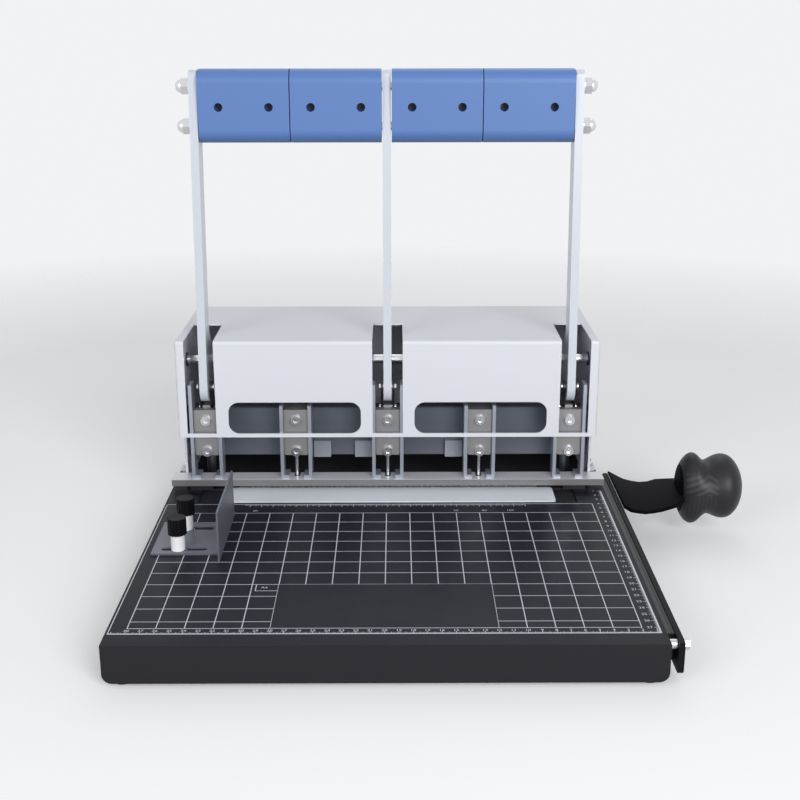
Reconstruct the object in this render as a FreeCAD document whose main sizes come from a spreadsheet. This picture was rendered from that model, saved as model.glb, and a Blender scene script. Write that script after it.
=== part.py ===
import FreeCAD, Part
import math
import os
import re
import Sketcher
from FreeCAD import Placement, Rotation, Vector

doc = FreeCAD.newDocument("desk_hole_punch")

# Driving sizes, in millimetres and degrees
SIZES = (
    ("base_width", 390, "base, left to right"),
    ("base_depth", 450, "base, front to back"),
    ("base_height", 29, "base shell without feet"),
    ("base_wall", 10, "side walls of the base shell"),
    ("base_deck", 9, "deck of the base shell"),
    ("base_corner", 7, "rounded lower long edges"),
    ("rib_thickness", 6, "ribs under the deck"),
    ("foot_height", 4, "rubber foot under the base"),
    ("foot_radius", 8, "rubber foot"),
    ("foot_side_inset", 12, "foot centre to the side wall"),
    ("foot_end_inset", 14, "foot centre to the front or rear wall"),
    ("panel_thickness", 1.2, "printed grid panel"),
    ("panel_margin", 1.5, "bare rim around the printed panel"),
    ("groove_inset", 28, "groove of the backing strip, its ends inside the base's sides"),
    ("groove_depth", 2, "groove below the panel's face"),
    ("strip_left_gap", 25, "groove's left end to the backing strip"),
    ("strip_right_gap", 19, "backing strip to the groove's right end"),
    ("strip_width", 34, "backing strip, front to back"),
    ("strip_thickness", 3, "backing strip"),
    ("strip_corner", 4, "backing strip, rounded corners"),
    ("strip_front", 34, "front edge of the backing strip"),
    ("die_margin", 12, "die plate beyond its end holes"),
    ("die_width", 18, "die plate, front to back"),
    ("die_thickness", 6, "die plate"),
    ("die_pitch", 5.125, "pitch of the die holes"),
    ("die_reach_count", 24, "die holes on each side of the middle one"),
    ("head_step_count", 16, "die holes from one punch to the next"),
    ("die_hole_radius", 1.75, "hole in the die plate"),
    ("punch_radius", 1.5, "punch pin"),
    ("punch_line", 72.5, "row of punches, from the middle of the base"),
    ("bar_inset", 1, "stripper bar's ends inside the base's sides"),
    ("bar_front", 61, "front face of the stripper bar"),
    ("bar_width", 19, "stripper bar, front to back"),
    ("bar_thickness", 6, "stripper bar"),
    ("paper_gap", 5.2, "paper slot under the stripper bar"),
    ("notch_half", 2.6, "notch in the bar round a punch"),
    ("spacer_length", 20, "spacer under the stripper bar"),
    ("spacer_inset", 27, "spacer's middle inside the base's side"),
    ("spacer_setback", 4, "spacer behind the bar's front face"),
    ("head_inset", 33.2, "outer guide heads inside the base's sides"),
    ("guide_inner_half", 11, "half the room between two guide plates"),
    ("guide_sheet", 3, "guide plate"),
    ("guide_setback", 3.8, "guide plate behind the bar's front face"),
    ("guide_foot", 7.5, "inward foot of a guide plate"),
    ("guide_height", 87, "guide plate beside an arm"),
    ("guide_low_height", 68, "guide plate of a head with no arm"),
    ("guide_bend", 2.4, "outer bend radius of a guide plate"),
    ("running_gap", 0.3, "clearance between parts that slide"),
    ("press_depth", 12, "press bar, front to back"),
    ("press_front", 92, "front face of the press bar"),
    ("press_bottom", 23.5, "press bar above the deck, at rest"),
    ("press_height", 46.5, "press bar"),
    ("press_chamfer", 1, "press bar's edges"),
    ("block_setback", 3.2, "slide block behind the guide plate's front"),
    ("block_bottom", 32.2, "slide block above the deck, at rest"),
    ("block_height", 42.4, "slide block"),
    ("block_corner", 2, "slide block's lower corners"),
    ("upper_screw_drop", 9.6, "upper screw below the block's top"),
    ("lower_screw_rise", 3.9, "clamp screw above the block's bottom"),
    ("block_screw_radius", 2.5, "shank of a block screw"),
    ("block_head_radius", 4.3, "head of a block screw"),
    ("block_head_height", 3, "head of a block screw"),
    ("hex_radius", 2, "hexagon socket, across corners halved"),
    ("hex_depth", 1.6, "hexagon socket"),
    ("pin_in_block", 20, "punch pin inside its block"),
    ("pin_below_bar_top", 3, "punch tip in the stripper bar at rest"),
    ("shaft_radius", 4.2, "main shaft of the lever"),
    ("shaft_line", 102, "main shaft behind the middle of the base"),
    ("shaft_rise", 112.2, "main shaft above the deck"),
    ("shaft_clearance", 0.05, "radial running fit on the main shaft"),
    ("clip_thickness", 1.2, "retaining clip of the main shaft"),
    ("clip_radius", 6.2, "retaining clip of the main shaft"),
    ("arm_thickness", 7, "lever arm"),
    ("arm_width", 22, "lever arm, front to back"),
    ("arm_rise", 253, "arm's top above the main shaft"),
    ("arm_top_back", 6, "arm's top in front of the main shaft"),
    ("arm_flare_rise", 30, "where the arm widens to its boss"),
    ("arm_end_round", 5, "rounded top corners of an arm"),
    ("boss_radius", 12.5, "arm round the main shaft"),
    ("crank_reach", 26, "link pin in front of the main shaft"),
    ("crank_drop", 18.6, "link pin below the main shaft"),
    ("toe_radius", 12.5, "arm round the link pin"),
    ("link_pin_radius", 2.5, "link pin"),
    ("link_length", 23, "link, pin to pin"),
    ("link_sheet", 2, "link plate"),
    ("link_radius", 5.5, "link plate round its pin"),
    ("link_lean", 8.48, "lower link pin behind the upper one"),
    ("tongue_half", 3.4, "tongue of a block, half its thickness"),
    ("tongue_play", 3.3, "extra height of the tongue's slot"),
    ("tongue_slack", 1.2, "extra half width of the tongue's slot"),
    ("tongue_wall", 3, "metal behind the tongue's slot"),
    ("tongue_cap", 1.6, "metal over the tongue's slot"),
    ("pin_reach", 1.5, "link pin outside its plates"),
    ("grip_height", 60.3, "grip, top to bottom"),
    ("grip_depth", 34, "grip, front to back"),
    ("grip_round", 11, "rounded long edges of a grip"),
    ("grip_gap", 0.8, "gap between two grips"),
    ("grip_top_gap", 1, "grip's top above the arm's top"),
    ("grip_hole_radius", 3.6, "screw recess in a grip"),
    ("grip_hole_depth", 12, "screw recess in a grip"),
    ("grip_hole_reach", 21, "screw recess from the grip's middle"),
    ("grip_hole_drop", 30.5, "screw recess below the grip's top"),
    ("grip_screw_radius", 2, "screw in a grip"),
    ("rod_radius", 4, "tie rod between the arms"),
    ("upper_rod_drop", 13, "upper tie rod below the arm's top"),
    ("lower_rod_drop", 46, "lower tie rod below the arm's top"),
    ("nut_flats", 13, "acorn nut across its flats"),
    ("nut_hex_height", 6, "acorn nut's hexagon"),
    ("nut_dome_radius", 5.6, "acorn nut's dome"),
    ("washer_radius", 7.6, "washer under an acorn nut"),
    ("washer_thickness", 1.4, "washer under an acorn nut"),
    ("frame_sheet", 2, "side frame"),
    ("frame_inset", 13, "side frame's inner face inside the base's side"),
    ("frame_top_gap", 0.4, "side frame below the cover's top sheet"),
    ("frame_depth", 116.8, "side frame, front to back"),
    ("frame_corner", 8, "rounded corners of a side frame"),
    ("foot_flange", 11, "foot tab of a side frame, across"),
    ("tab_round", 4, "outer corners of a foot tab"),
    ("tab_depth", 20, "foot tab of a side frame, along"),
    ("flange_start", 32, "foot tab behind the stripper bar"),
    ("flange_screw_radius", 2.5, "screw in a foot flange"),
    ("flange_head_radius", 4.5, "screw head on a foot flange"),
    ("flange_head_height", 3, "screw head on a foot flange"),
    ("rear_sheet", 1.5, "rear panel"),
    ("cover_sheet", 1.5, "cover"),
    ("cover_inset", 9.3, "cover's side inside the base's side"),
    ("cover_front", 63, "cover's front face"),
    ("cover_depth", 138, "cover, front to back"),
    ("cover_top", 138.5, "cover's top above the deck"),
    ("cover_bottom", 50.7, "cover's lower edge above the deck"),
    ("cover_bend", 2.5, "outer bend radius of the cover"),
    ("strip_bridge", 3.4, "bridge along the cover's lower front edge"),
    ("slot_far", 15.8, "outer arm slot, its far side from the outer head"),
    ("slot_near", 10, "outer arm slot, its near side from the outer head"),
    ("slot_middle_half", 13.3, "middle arm slot, half width"),
    ("slot_depth", 65, "arm slot in the cover's top"),
    ("window_inner", 23.7, "window, near side to the middle"),
    ("window_gap", 21, "window's end to the outer head"),
    ("window_height", 29, "window in the cover's front"),
    ("window_round", 9.5, "corner of a window"),
    ("cover_screw_radius", 1.5, "cover screw"),
    ("cover_screw_head", 3.2, "cover screw's head"),
    ("cover_screw_rise", 18, "cover screw above the cover's lower edge"),
    ("cover_screw_inset", 30, "cover screw from the cover's front and rear"),
    ("spring_wire", 1.2, "thickness of a return spring"),
    ("post_radius", 5.3, "hollow guide post of the press bar"),
    ("post_bore", 4.3, "bore of a guide post"),
    ("post_below", 6, "guide post in the deck"),
    ("post_rise", 37, "guide post above the deck"),
    ("post_room", 1.4, "room over a post at the end of the stroke"),
    ("stroke", 12.1, "travel of the press bar"),
    ("lock_width", 15.5, "clamp block on the press bar"),
    ("lock_height", 15.5, "clamp block on the press bar"),
    ("lock_depth", 5, "clamp block on the press bar"),
    ("lock_gap", 0.5, "clamp block beside its guide plate"),
    ("edge_thickness", 3, "fixed cutting edge"),
    ("edge_height", 14, "fixed cutting edge"),
    ("blade_thickness", 2, "moving blade"),
    ("blade_height", 20, "moving blade"),
    ("blade_gap", 0.25, "moving blade beside the fixed edge"),
    ("blade_arm_thickness", 4, "arm of the moving blade"),
    ("blade_arm_height", 23, "arm of the moving blade"),
    ("blade_arm_rear", 103, "blade arm's rear end"),
    ("pivot_inset", 8, "trimmer pivot behind the base's front"),
    ("pivot_drop", 3.8, "trimmer pivot below the deck's face"),
    ("pivot_radius", 2, "trimmer pivot bolt"),
    ("pivot_nut_flats", 7, "lock nut of the trimmer pivot"),
    ("pivot_nut_height", 4, "lock nut of the trimmer pivot"),
    ("handle_plate", 8, "neck of the trimmer handle"),
    ("handle_line", 45, "middle of the trimmer grip, front to back"),
    ("handle_rise", 42, "middle of the trimmer grip above the floor"),
    ("handle_reach", 61, "trimmer grip's inner end outside the base"),
    ("handle_length", 57, "trimmer grip, along its axis"),
    ("guard_radius", 33, "guard of the trimmer grip"),
    ("bracket_sheet", 1.5, "side guide"),
    ("bracket_width", 55, "side guide's foot, left to right"),
    ("bracket_foot_depth", 64, "side guide's foot, front to back"),
    ("bracket_fence_depth", 94, "side guide's fence, front to back"),
    ("bracket_foot_offset", 12, "foot behind the fence's front edge"),
    ("bracket_height", 41, "side guide's fence"),
    ("fence_reach", 34.4, "fence's face to the right of the clamp studs"),
    ("bracket_front", 89, "fence's front edge before the middle"),
    ("slot_half_width", 3, "slot in the side guide"),
    ("slot_before", 13.6, "slot to the left of its stud"),
    ("slot_behind", 23.2, "slot to the right of its stud"),
    ("stud_inset", 28, "clamp studs inside the base's left side"),
    ("front_stud", 68, "front clamp stud before the middle"),
    ("rear_stud", 26, "rear clamp stud before the middle"),
    ("stud_radius", 2.4, "clamp stud"),
    ("sleeve_radius", 5.6, "clamp sleeve"),
    ("sleeve_height", 13.5, "clamp sleeve"),
    ("clamp_radius", 7.5, "clamp knob"),
    ("clamp_height", 13.8, "clamp knob"),
    ("knurl_count", 18, "flutes round a clamp knob"),
    ("knurl_radius", 0.7, "flute of a clamp knob"),
    ("overrun", 2, "how far a cut runs past its wall"),
)

# Distances from the middle that follow other sizes
LINES = (
    ("outer_head", "=base_width / 2 - head_inset", "outer guide heads and arms"),
    ("die_half", "=die_reach_count * die_pitch + die_margin", "die plate's ends"),
    ("groove_half", "=base_width / 2 - groove_inset", "groove of the backing strip"),
    ("strip_left", "=groove_half - strip_left_gap", "backing strip's left end"),
    ("strip_right", "=groove_half - strip_right_gap", "backing strip's right end"),
    ("bar_half", "=base_width / 2 - bar_inset", "stripper bar's ends"),
    ("spacer_reach", "=base_width / 2 - spacer_inset", "spacers' middles"),
    ("frame_half", "=base_width / 2 - frame_inset", "side frames' inner faces"),
    ("cover_half", "=base_width / 2 - cover_inset", "cover's sides"),
    ("slot_outer_half", "=outer_head + slot_far", "outer arm slots, far sides"),
    ("slot_inner_half", "=outer_head - slot_near", "outer arm slots, near sides"),
    ("window_outer", "=outer_head - window_gap", "windows' outer ends"),
    ("handle_start", "=base_width / 2 + handle_reach", "trimmer grip's inner end"),
    ("stud_line", "=base_width / 2 - stud_inset", "clamp studs"),
)

sheet = doc.addObject("Spreadsheet::Sheet", "sizes")
for row, (alias, content, meaning) in enumerate(SIZES + LINES, start=1):
    sheet.set(f"A{row}", str(content))
    sheet.setAlias(f"A{row}", alias)
    sheet.set(f"B{row}", meaning)
doc.recompute()
ALIASES = {alias for alias, content, meaning in SIZES + LINES}

# Heights and lines that several pieces share, as formulas on the sizes
DECK = "(foot_height + base_height)"
HALF_WIDTH = "base_width / 2"
HALF_DEPTH = "base_depth / 2"
BAR_BOTTOM = f"({DECK} + paper_gap)"
BAR_TOP = f"({BAR_BOTTOM} + bar_thickness)"
BAR_REAR = "(bar_front + bar_width)"
GUIDE_FRONT = "(bar_front + guide_setback)"
GUIDE_DEPTH = "(bar_width - guide_setback)"
BLOCK_FRONT = f"({GUIDE_FRONT} + block_setback)"
BLOCK_DEPTH = f"(press_front - {BLOCK_FRONT})"
BLOCK_BOTTOM = f"({DECK} + block_bottom)"
BLOCK_HALF = "(guide_inner_half - running_gap)"
BOLT_GRIP = "(block_screw_radius * 3)"
PRESS_BOTTOM = f"({DECK} + press_bottom)"
SHAFT_Z = f"({DECK} + shaft_rise)"
INNER_HEAD = "(die_pitch * head_step_count)"
ARM_TOP = f"({SHAFT_Z} + arm_rise)"
ARM_MIDDLE = "(shaft_line - arm_top_back)"
COVER_TOP = f"({DECK} + cover_top)"
COVER_BOTTOM = f"({DECK} + cover_bottom)"
FRAME_FRONT = f"({BAR_REAR} + running_gap)"
FRAME_TOP = f"({COVER_TOP} - cover_sheet - frame_top_gap)"
BLADE_X = f"({HALF_WIDTH} + edge_thickness + blade_gap)"
BLADE_ARM_X = f"({BLADE_X} + blade_thickness)"
PIVOT_Y = f"(pivot_inset - {HALF_DEPTH})"
PIVOT_Z = f"({DECK} - pivot_drop)"


def tied(text):
    """The formula with each size named as a cell of the sheet."""
    return re.sub(r"[a-z][a-z_]*", lambda word: "sizes." + word.group()
                  if word.group() in ALIASES else word.group(), str(text))


def value(text):
    """The formula's number."""
    return float(sheet.evalExpression(tied(text)))


def bind(item, place, text):
    """Ties one property of an object to a formula on the sizes."""
    item.setExpression(place, tied(text))


def place(item, x="0", y="0", z="0", turn=None):
    """Puts an object at a place given by three formulas."""
    if turn:
        item.Placement = Placement(Vector(), turn)
    bind(item, "Placement.Base.x", x)
    bind(item, "Placement.Base.y", y)
    bind(item, "Placement.Base.z", z)
    return item


ALONG = {
    "x": Rotation(Vector(0, 1, 0), 90),
    "y": Rotation(Vector(1, 0, 0), -90),
    "z": Rotation(),
}


def box(name, x, y, z, length, width, height):
    """A box from its lowest corner and its three sizes."""
    item = doc.addObject("Part::Box", name)
    bind(item, "Length", length)
    bind(item, "Width", width)
    bind(item, "Height", height)
    return place(item, x, y, z)


def rod(name, axis, x, y, z, radius, length):
    """A cylinder that starts at a place and runs along an axis."""
    item = doc.addObject("Part::Cylinder", name)
    bind(item, "Radius", radius)
    bind(item, "Height", length)
    return place(item, x, y, z, ALONG[axis])


def join(name, *shapes):
    item = doc.addObject("Part::MultiFuse", name)
    item.Shapes = list(shapes)
    item.Refine = True
    return item


def cut(name, base, *tools):
    item = doc.addObject("Part::Cut", name)
    item.Base = base
    item.Tool = tools[0] if len(tools) == 1 else join(name + "_cuts", *tools)
    item.Refine = True
    return item


def group(name, *shapes):
    """Several separate solids of one node."""
    item = doc.addObject("Part::Compound", name)
    item.Links = list(shapes)
    return item


def sketch(body, name, role, lift=None):
    """A sketch on one of the body's own planes, lifted off it if asked."""
    item = body.newObject("Sketcher::SketchObject", name)
    origin_plane = next(f for f in body.Origin.OriginFeatures if f.Role == role)
    item.AttachmentSupport = [(origin_plane, "")]
    item.MapMode = "FlatFace"
    if lift:
        bind(item, "AttachmentOffset.Base.z", lift)
    return item


def pin_point(item, line, corner, x, y):
    """Ties one point of a sketch to two formulas."""
    for kind, text in (("DistanceX", x), ("DistanceY", y)):
        rule = Sketcher.Constraint(kind, -1, 1, line, corner, value(text))
        bind(item, f"Constraints[{item.addConstraint(rule)}]", text)


def polygon(item, points):
    """A closed outline through points given as pairs of formulas."""
    spots = [Vector(value(x), value(y), 0) for x, y in points]
    first = item.GeometryCount
    for number, spot in enumerate(spots):
        item.addGeometry(Part.LineSegment(spot, spots[(number + 1) % len(spots)]))
    for number, (x, y) in enumerate(points):
        following = first + (number + 1) % len(points)
        item.addConstraint(Sketcher.Constraint("Coincident", first + number, 2, following, 1))
        pin_point(item, first + number, 1, x, y)


def curve(item, points):
    """A smooth line through points given as pairs of formulas."""
    line = Part.BSplineCurve()
    line.interpolate([Vector(value(x), value(y), 0) for x, y in points])
    item.addGeometry(line)


def straight(item, first, second):
    item.addGeometry(Part.LineSegment(*[Vector(value(x), value(y), 0) for x, y in (first, second)]))


def rectangle(item, left, low, right, high):
    polygon(item, ((left, low), (right, low), (right, high), (left, high)))


def circle(item, x, y, radius):
    centre = Vector(value(x), value(y), 0)
    number = item.addGeometry(Part.Circle(centre, Vector(0, 0, 1), value(radius)))
    pin_point(item, number, 3, x, y)
    rule = Sketcher.Constraint("Radius", number, value(radius))
    bind(item, f"Constraints[{item.addConstraint(rule)}]", radius)


def pad(body, outline, length, symmetric=False, backwards=False):
    item = body.newObject("PartDesign::Pad", outline.Name + "_pad")
    item.Profile = outline
    bind(item, "Length", length)
    item.SideType = "Symmetric" if symmetric else "One side"
    item.Reversed = backwards
    doc.recompute()
    return item


def pocket(body, outline, depth, backwards=False, symmetric=False):
    """Cuts an outline into the body and makes sure that metal came away."""
    before = body.Shape.Volume
    item = body.newObject("PartDesign::Pocket", outline.Name + "_pocket")
    item.Profile = outline
    bind(item, "Length", depth)
    item.SideType = "Symmetric" if symmetric else "One side"
    item.Reversed = backwards
    doc.recompute()
    if body.Shape.Volume >= before:
        raise RuntimeError(f"{outline.Name} cut nothing")
    return item


def fillet(body, base, name, radius, wanted):
    """Rounds the edges of a feature for which wanted(edge) holds."""
    item = body.newObject("PartDesign::Fillet", name)
    edges = [f"Edge{n}" for n, edge in enumerate(base.Shape.Edges, start=1) if wanted(edge)]
    item.Base = (base, edges)
    bind(item, "Radius", radius)
    doc.recompute()
    return item


def runs_along(edge, axis):
    """Whether a straight edge runs along an axis."""
    if len(edge.Vertexes) < 2 or not isinstance(edge.Curve, Part.Line):
        return False
    return abs(getattr(edge.Curve.Direction, axis)) > 1 - Part.Precision.confusion()


def new_body(name):
    return doc.addObject("PartDesign::Body", name)


nodes = {}


def node(name, item):
    """Names a finished sub-part."""
    item.Label = name
    nodes[name] = item
    return item


def mirrored(name, item):
    """The item's mirror image, left for right."""
    twin = doc.addObject("Part::Mirroring", name)
    twin.Source = item
    twin.Normal = Vector(1, 0, 0)
    return twin


def near(first, second):
    return abs(first - second) < Part.Precision.approximation() * value("base_width")


# Base: a cast shell, open below, with a rounded lower edge and ribs
base = new_body("base")
outline = sketch(base, "base_outline", "XZ_Plane")
rectangle(outline, f"-{HALF_WIDTH}", "0", HALF_WIDTH, "base_height")
shell = pad(base, outline, "base_depth", symmetric=True)
shell = fillet(base, shell, "base_lower_round", "base_corner",
               lambda edge: runs_along(edge, "y") and near(edge.CenterOfMass.z, 0))
hollow = sketch(base, "base_hollow", "XY_Plane")
BAY = f"((base_width - 2 * base_wall - 2 * rib_thickness) / 3)"
for column in range(3):
    left = f"base_wall - {HALF_WIDTH} + {column} * ({BAY} + rib_thickness)"
    for front, rear in ((f"base_wall - {HALF_DEPTH}", "-rib_thickness / 2"),
                        ("rib_thickness / 2", f"{HALF_DEPTH} - base_wall")):
        rectangle(hollow, left, front, f"{left} + {BAY}", rear)
pocket(base, hollow, "base_height - base_deck", backwards=True)
PANEL_REAR = "bar_front - panel_margin / 2"
seat = sketch(base, "panel_seat", "XY_Plane", "base_height")
rectangle(seat, f"panel_margin - {HALF_WIDTH}", f"panel_margin - {HALF_DEPTH}",
          f"{HALF_WIDTH} - panel_margin", PANEL_REAR)
pocket(base, seat, "panel_thickness")
groove = sketch(base, "strip_groove", "XY_Plane", "base_height")
rectangle(groove, "-groove_half", "strip_front", "groove_half", "strip_front + strip_width")
pocket(base, groove, "groove_depth")
die_seat = sketch(base, "die_seat", "XY_Plane", "base_height")
DIE_FRONT = "(strip_front + strip_width)"
rectangle(die_seat, "-die_half", DIE_FRONT, "die_half", f"{DIE_FRONT} + die_width")
pocket(base, die_seat, "die_thickness")
chip_slot = sketch(base, "chip_slot", "XY_Plane", "base_height")
rectangle(chip_slot, "-die_half + die_width / 2", "punch_line - 2 * die_hole_radius",
          "die_half - die_width / 2", "punch_line + 2 * die_hole_radius")
pocket(base, chip_slot, "base_deck + overrun")
place(base, z="foot_height")

# Rubber feet under the four corners
feet = []
for side in (-1, 1):
    for end in (-1, 1):
        x = f"{side} * ({HALF_WIDTH} - foot_side_inset)"
        y = f"{end} * ({HALF_DEPTH} - foot_end_inset)"
        feet.append(rod(f"foot_{len(feet)}", "z", x, y, "0", "foot_radius", "foot_height"))
node("rubber_feet", group("feet", *feet))

# Printed grid panel, let into the deck and cut out for the strip's groove
panel = box("panel_sheet", f"panel_margin - {HALF_WIDTH}", f"panel_margin - {HALF_DEPTH}",
            f"{DECK} - panel_thickness", "base_width - 2 * panel_margin",
            f"{HALF_DEPTH} + {PANEL_REAR} - panel_margin", "panel_thickness")
groove_cut = box("panel_groove", "-groove_half", "strip_front",
                 f"{DECK} - panel_thickness - overrun", "2 * groove_half",
                 "strip_width + overrun", "panel_thickness + 2 * overrun")
STUDS = ("front_stud", "rear_stud")
panel_holes = [rod(f"panel_hole_{stud}", "z", "-stud_line", f"-{stud}", f"{DECK} - panel_thickness - overrun",
                   "stud_radius", "panel_thickness + 2 * overrun") for stud in STUDS]
node("grid_panel", cut("panel", panel, groove_cut, *panel_holes))

# White backing strip, loose in its groove so that it can be changed
strip = new_body("strip")
outline = sketch(strip, "strip_outline", "XY_Plane")
rectangle(outline, "-strip_left", "0", "strip_right", "strip_width")
slab = pad(strip, outline, "strip_thickness")
fillet(strip, slab, "strip_round", "strip_corner", lambda edge: runs_along(edge, "z"))
place(strip, y="strip_front", z=f"{DECK} - groove_depth")
node("backing_strip", strip)

# Die plate with one row of holes at an even pitch
die = new_body("die")
outline = sketch(die, "die_outline", "XY_Plane")
rectangle(outline, "-die_half", "0", "die_half", "die_width")
pad(die, outline, "die_thickness")
row = sketch(die, "die_first_hole", "XY_Plane")
hole_corners = [(f"die_hole_radius * cos({45 * corner} deg) - die_reach_count * die_pitch",
                 f"die_hole_radius * sin({45 * corner} deg) + punch_line - {DIE_FRONT}")
                for corner in range(8)]
polygon(row, hole_corners)
first_hole = pocket(die, row, "die_thickness + overrun", backwards=True)
pattern = die.newObject("PartDesign::LinearPattern", "die_holes")
pattern.Originals = [first_hole]
pattern.Direction = (row, ["H_Axis"])
bind(pattern, "Occurrences", "2 * die_reach_count + 1")
bind(pattern, "Length", "2 * die_reach_count * die_pitch")
die.Tip = pattern
place(die, y=DIE_FRONT, z=f"{DECK} - die_thickness")
node("die_plate", die)

# Stripper bar on two spacers: it leaves the paper slot and clears the punches
bar = new_body("bar")
outline = sketch(bar, "bar_outline", "XY_Plane")
rectangle(outline, "-bar_half", "0", "bar_half", "bar_width")
pad(bar, outline, "bar_thickness")
notches = sketch(bar, "bar_notches", "XY_Plane")
for head in (f"-{INNER_HEAD}", "0", INNER_HEAD):
    rectangle(notches, f"{head} - notch_half", "punch_line - notch_half - bar_front",
              f"{head} + notch_half", "bar_width + overrun")
pocket(bar, notches, "bar_thickness + overrun", backwards=True)
place(bar, y="bar_front", z=BAR_BOTTOM)
node("stripper_bar", bar)
spacers = []
for side in (-1, 1):
    spacers.append(box(f"spacer_{len(spacers)}", f"{side} * spacer_reach - spacer_length / 2",
                       "bar_front + spacer_setback", DECK, "spacer_length",
                       "bar_width - spacer_setback", "paper_gap"))
node("bar_spacers", group("spacers", *spacers))


def guide_plate(name, height):
    """One bent guide plate with its foot turned in, right of the middle."""
    body = new_body(name)
    profile = sketch(body, name + "_outline", "XZ_Plane")
    outer = "guide_inner_half + guide_sheet"
    polygon(profile, ((outer, "0"), (outer, height), ("guide_inner_half", height),
                      ("guide_inner_half", "guide_sheet"),
                      (f"{outer} - guide_foot", "guide_sheet"), (f"{outer} - guide_foot", "0")))
    sheet_metal = pad(body, profile, GUIDE_DEPTH, backwards=True)
    fillet(body, sheet_metal, name + "_bend", "guide_bend",
           lambda edge: runs_along(edge, "y") and near(edge.CenterOfMass.z, 0)
           and near(edge.CenterOfMass.x, value(outer)))
    return place(body, y=GUIDE_FRONT, z=BAR_TOP)


HEADS = (("1", "-outer_head"), ("2", f"-{INNER_HEAD}"), ("3", "0"), ("4", INNER_HEAD), ("5", "outer_head"))
ARM_HEADS = ("1", "3", "5")
PUNCH_HEADS = ("2", "3", "4")
head_at = dict(HEADS)
tall_plate = guide_plate("tall_plate", "guide_height")
low_plate = guide_plate("low_plate", "guide_low_height")
tall_twin = mirrored("tall_twin", tall_plate)
low_twin = mirrored("low_twin", low_plate)
for number, head in HEADS:
    pair = (tall_plate, tall_twin) if number in ARM_HEADS else (low_plate, low_twin)
    plates = group(f"guide_pair_{number}", *pair)
    node(f"guide_plates_{number}", place(plates, x=head))

# Press bar: joins the five blocks, slides on two posts and clears the links
BLOCK_MIDDLE = f"({BLOCK_BOTTOM} + block_height / 2)"
UPPER_SCREW = f"({BLOCK_BOTTOM} + block_height - upper_screw_drop)"
LOWER_SCREW = f"({BLOCK_BOTTOM} + lower_screw_rise)"
TONGUE_Y = "(shaft_line - crank_reach + link_lean)"
TONGUE_Z = f"({SHAFT_Z} - crank_drop - sqrt(link_length ^ 2 - link_lean ^ 2))"
SLOT_HALF = "(link_pin_radius + tongue_slack)"
LINK_FLOOR = f"({TONGUE_Z} - tongue_play - link_radius - running_gap)"
press = new_body("press")
outline = sketch(press, "press_outline", "YZ_Plane")
polygon(outline, (("0", "press_chamfer"), ("press_chamfer", "0"),
                  ("press_depth - press_chamfer", "0"), ("press_depth", "press_chamfer"),
                  ("press_depth", "press_height - press_chamfer"),
                  ("press_depth - press_chamfer", "press_height"),
                  ("press_chamfer", "press_height"), ("0", "press_height - press_chamfer")))
pad(press, outline, "2 * (frame_half - running_gap)", symmetric=True)
post_holes = sketch(press, "press_post_holes", "XY_Plane")
for x in ("-outer_head", "outer_head"):
    circle(post_holes, x, "press_depth / 2", "post_radius + running_gap")
pocket(press, post_holes, "post_rise - press_bottom + stroke + post_room", backwards=True)
bolt_holes = sketch(press, "press_bolt_holes", "XZ_Plane")
for number, head in HEADS:
    circle(bolt_holes, head, f"{BLOCK_MIDDLE} - {PRESS_BOTTOM}", "block_screw_radius")
pocket(press, bolt_holes, "press_depth + overrun")
place(press, y="press_front", z=PRESS_BOTTOM)
node("press_bar", press)

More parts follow.
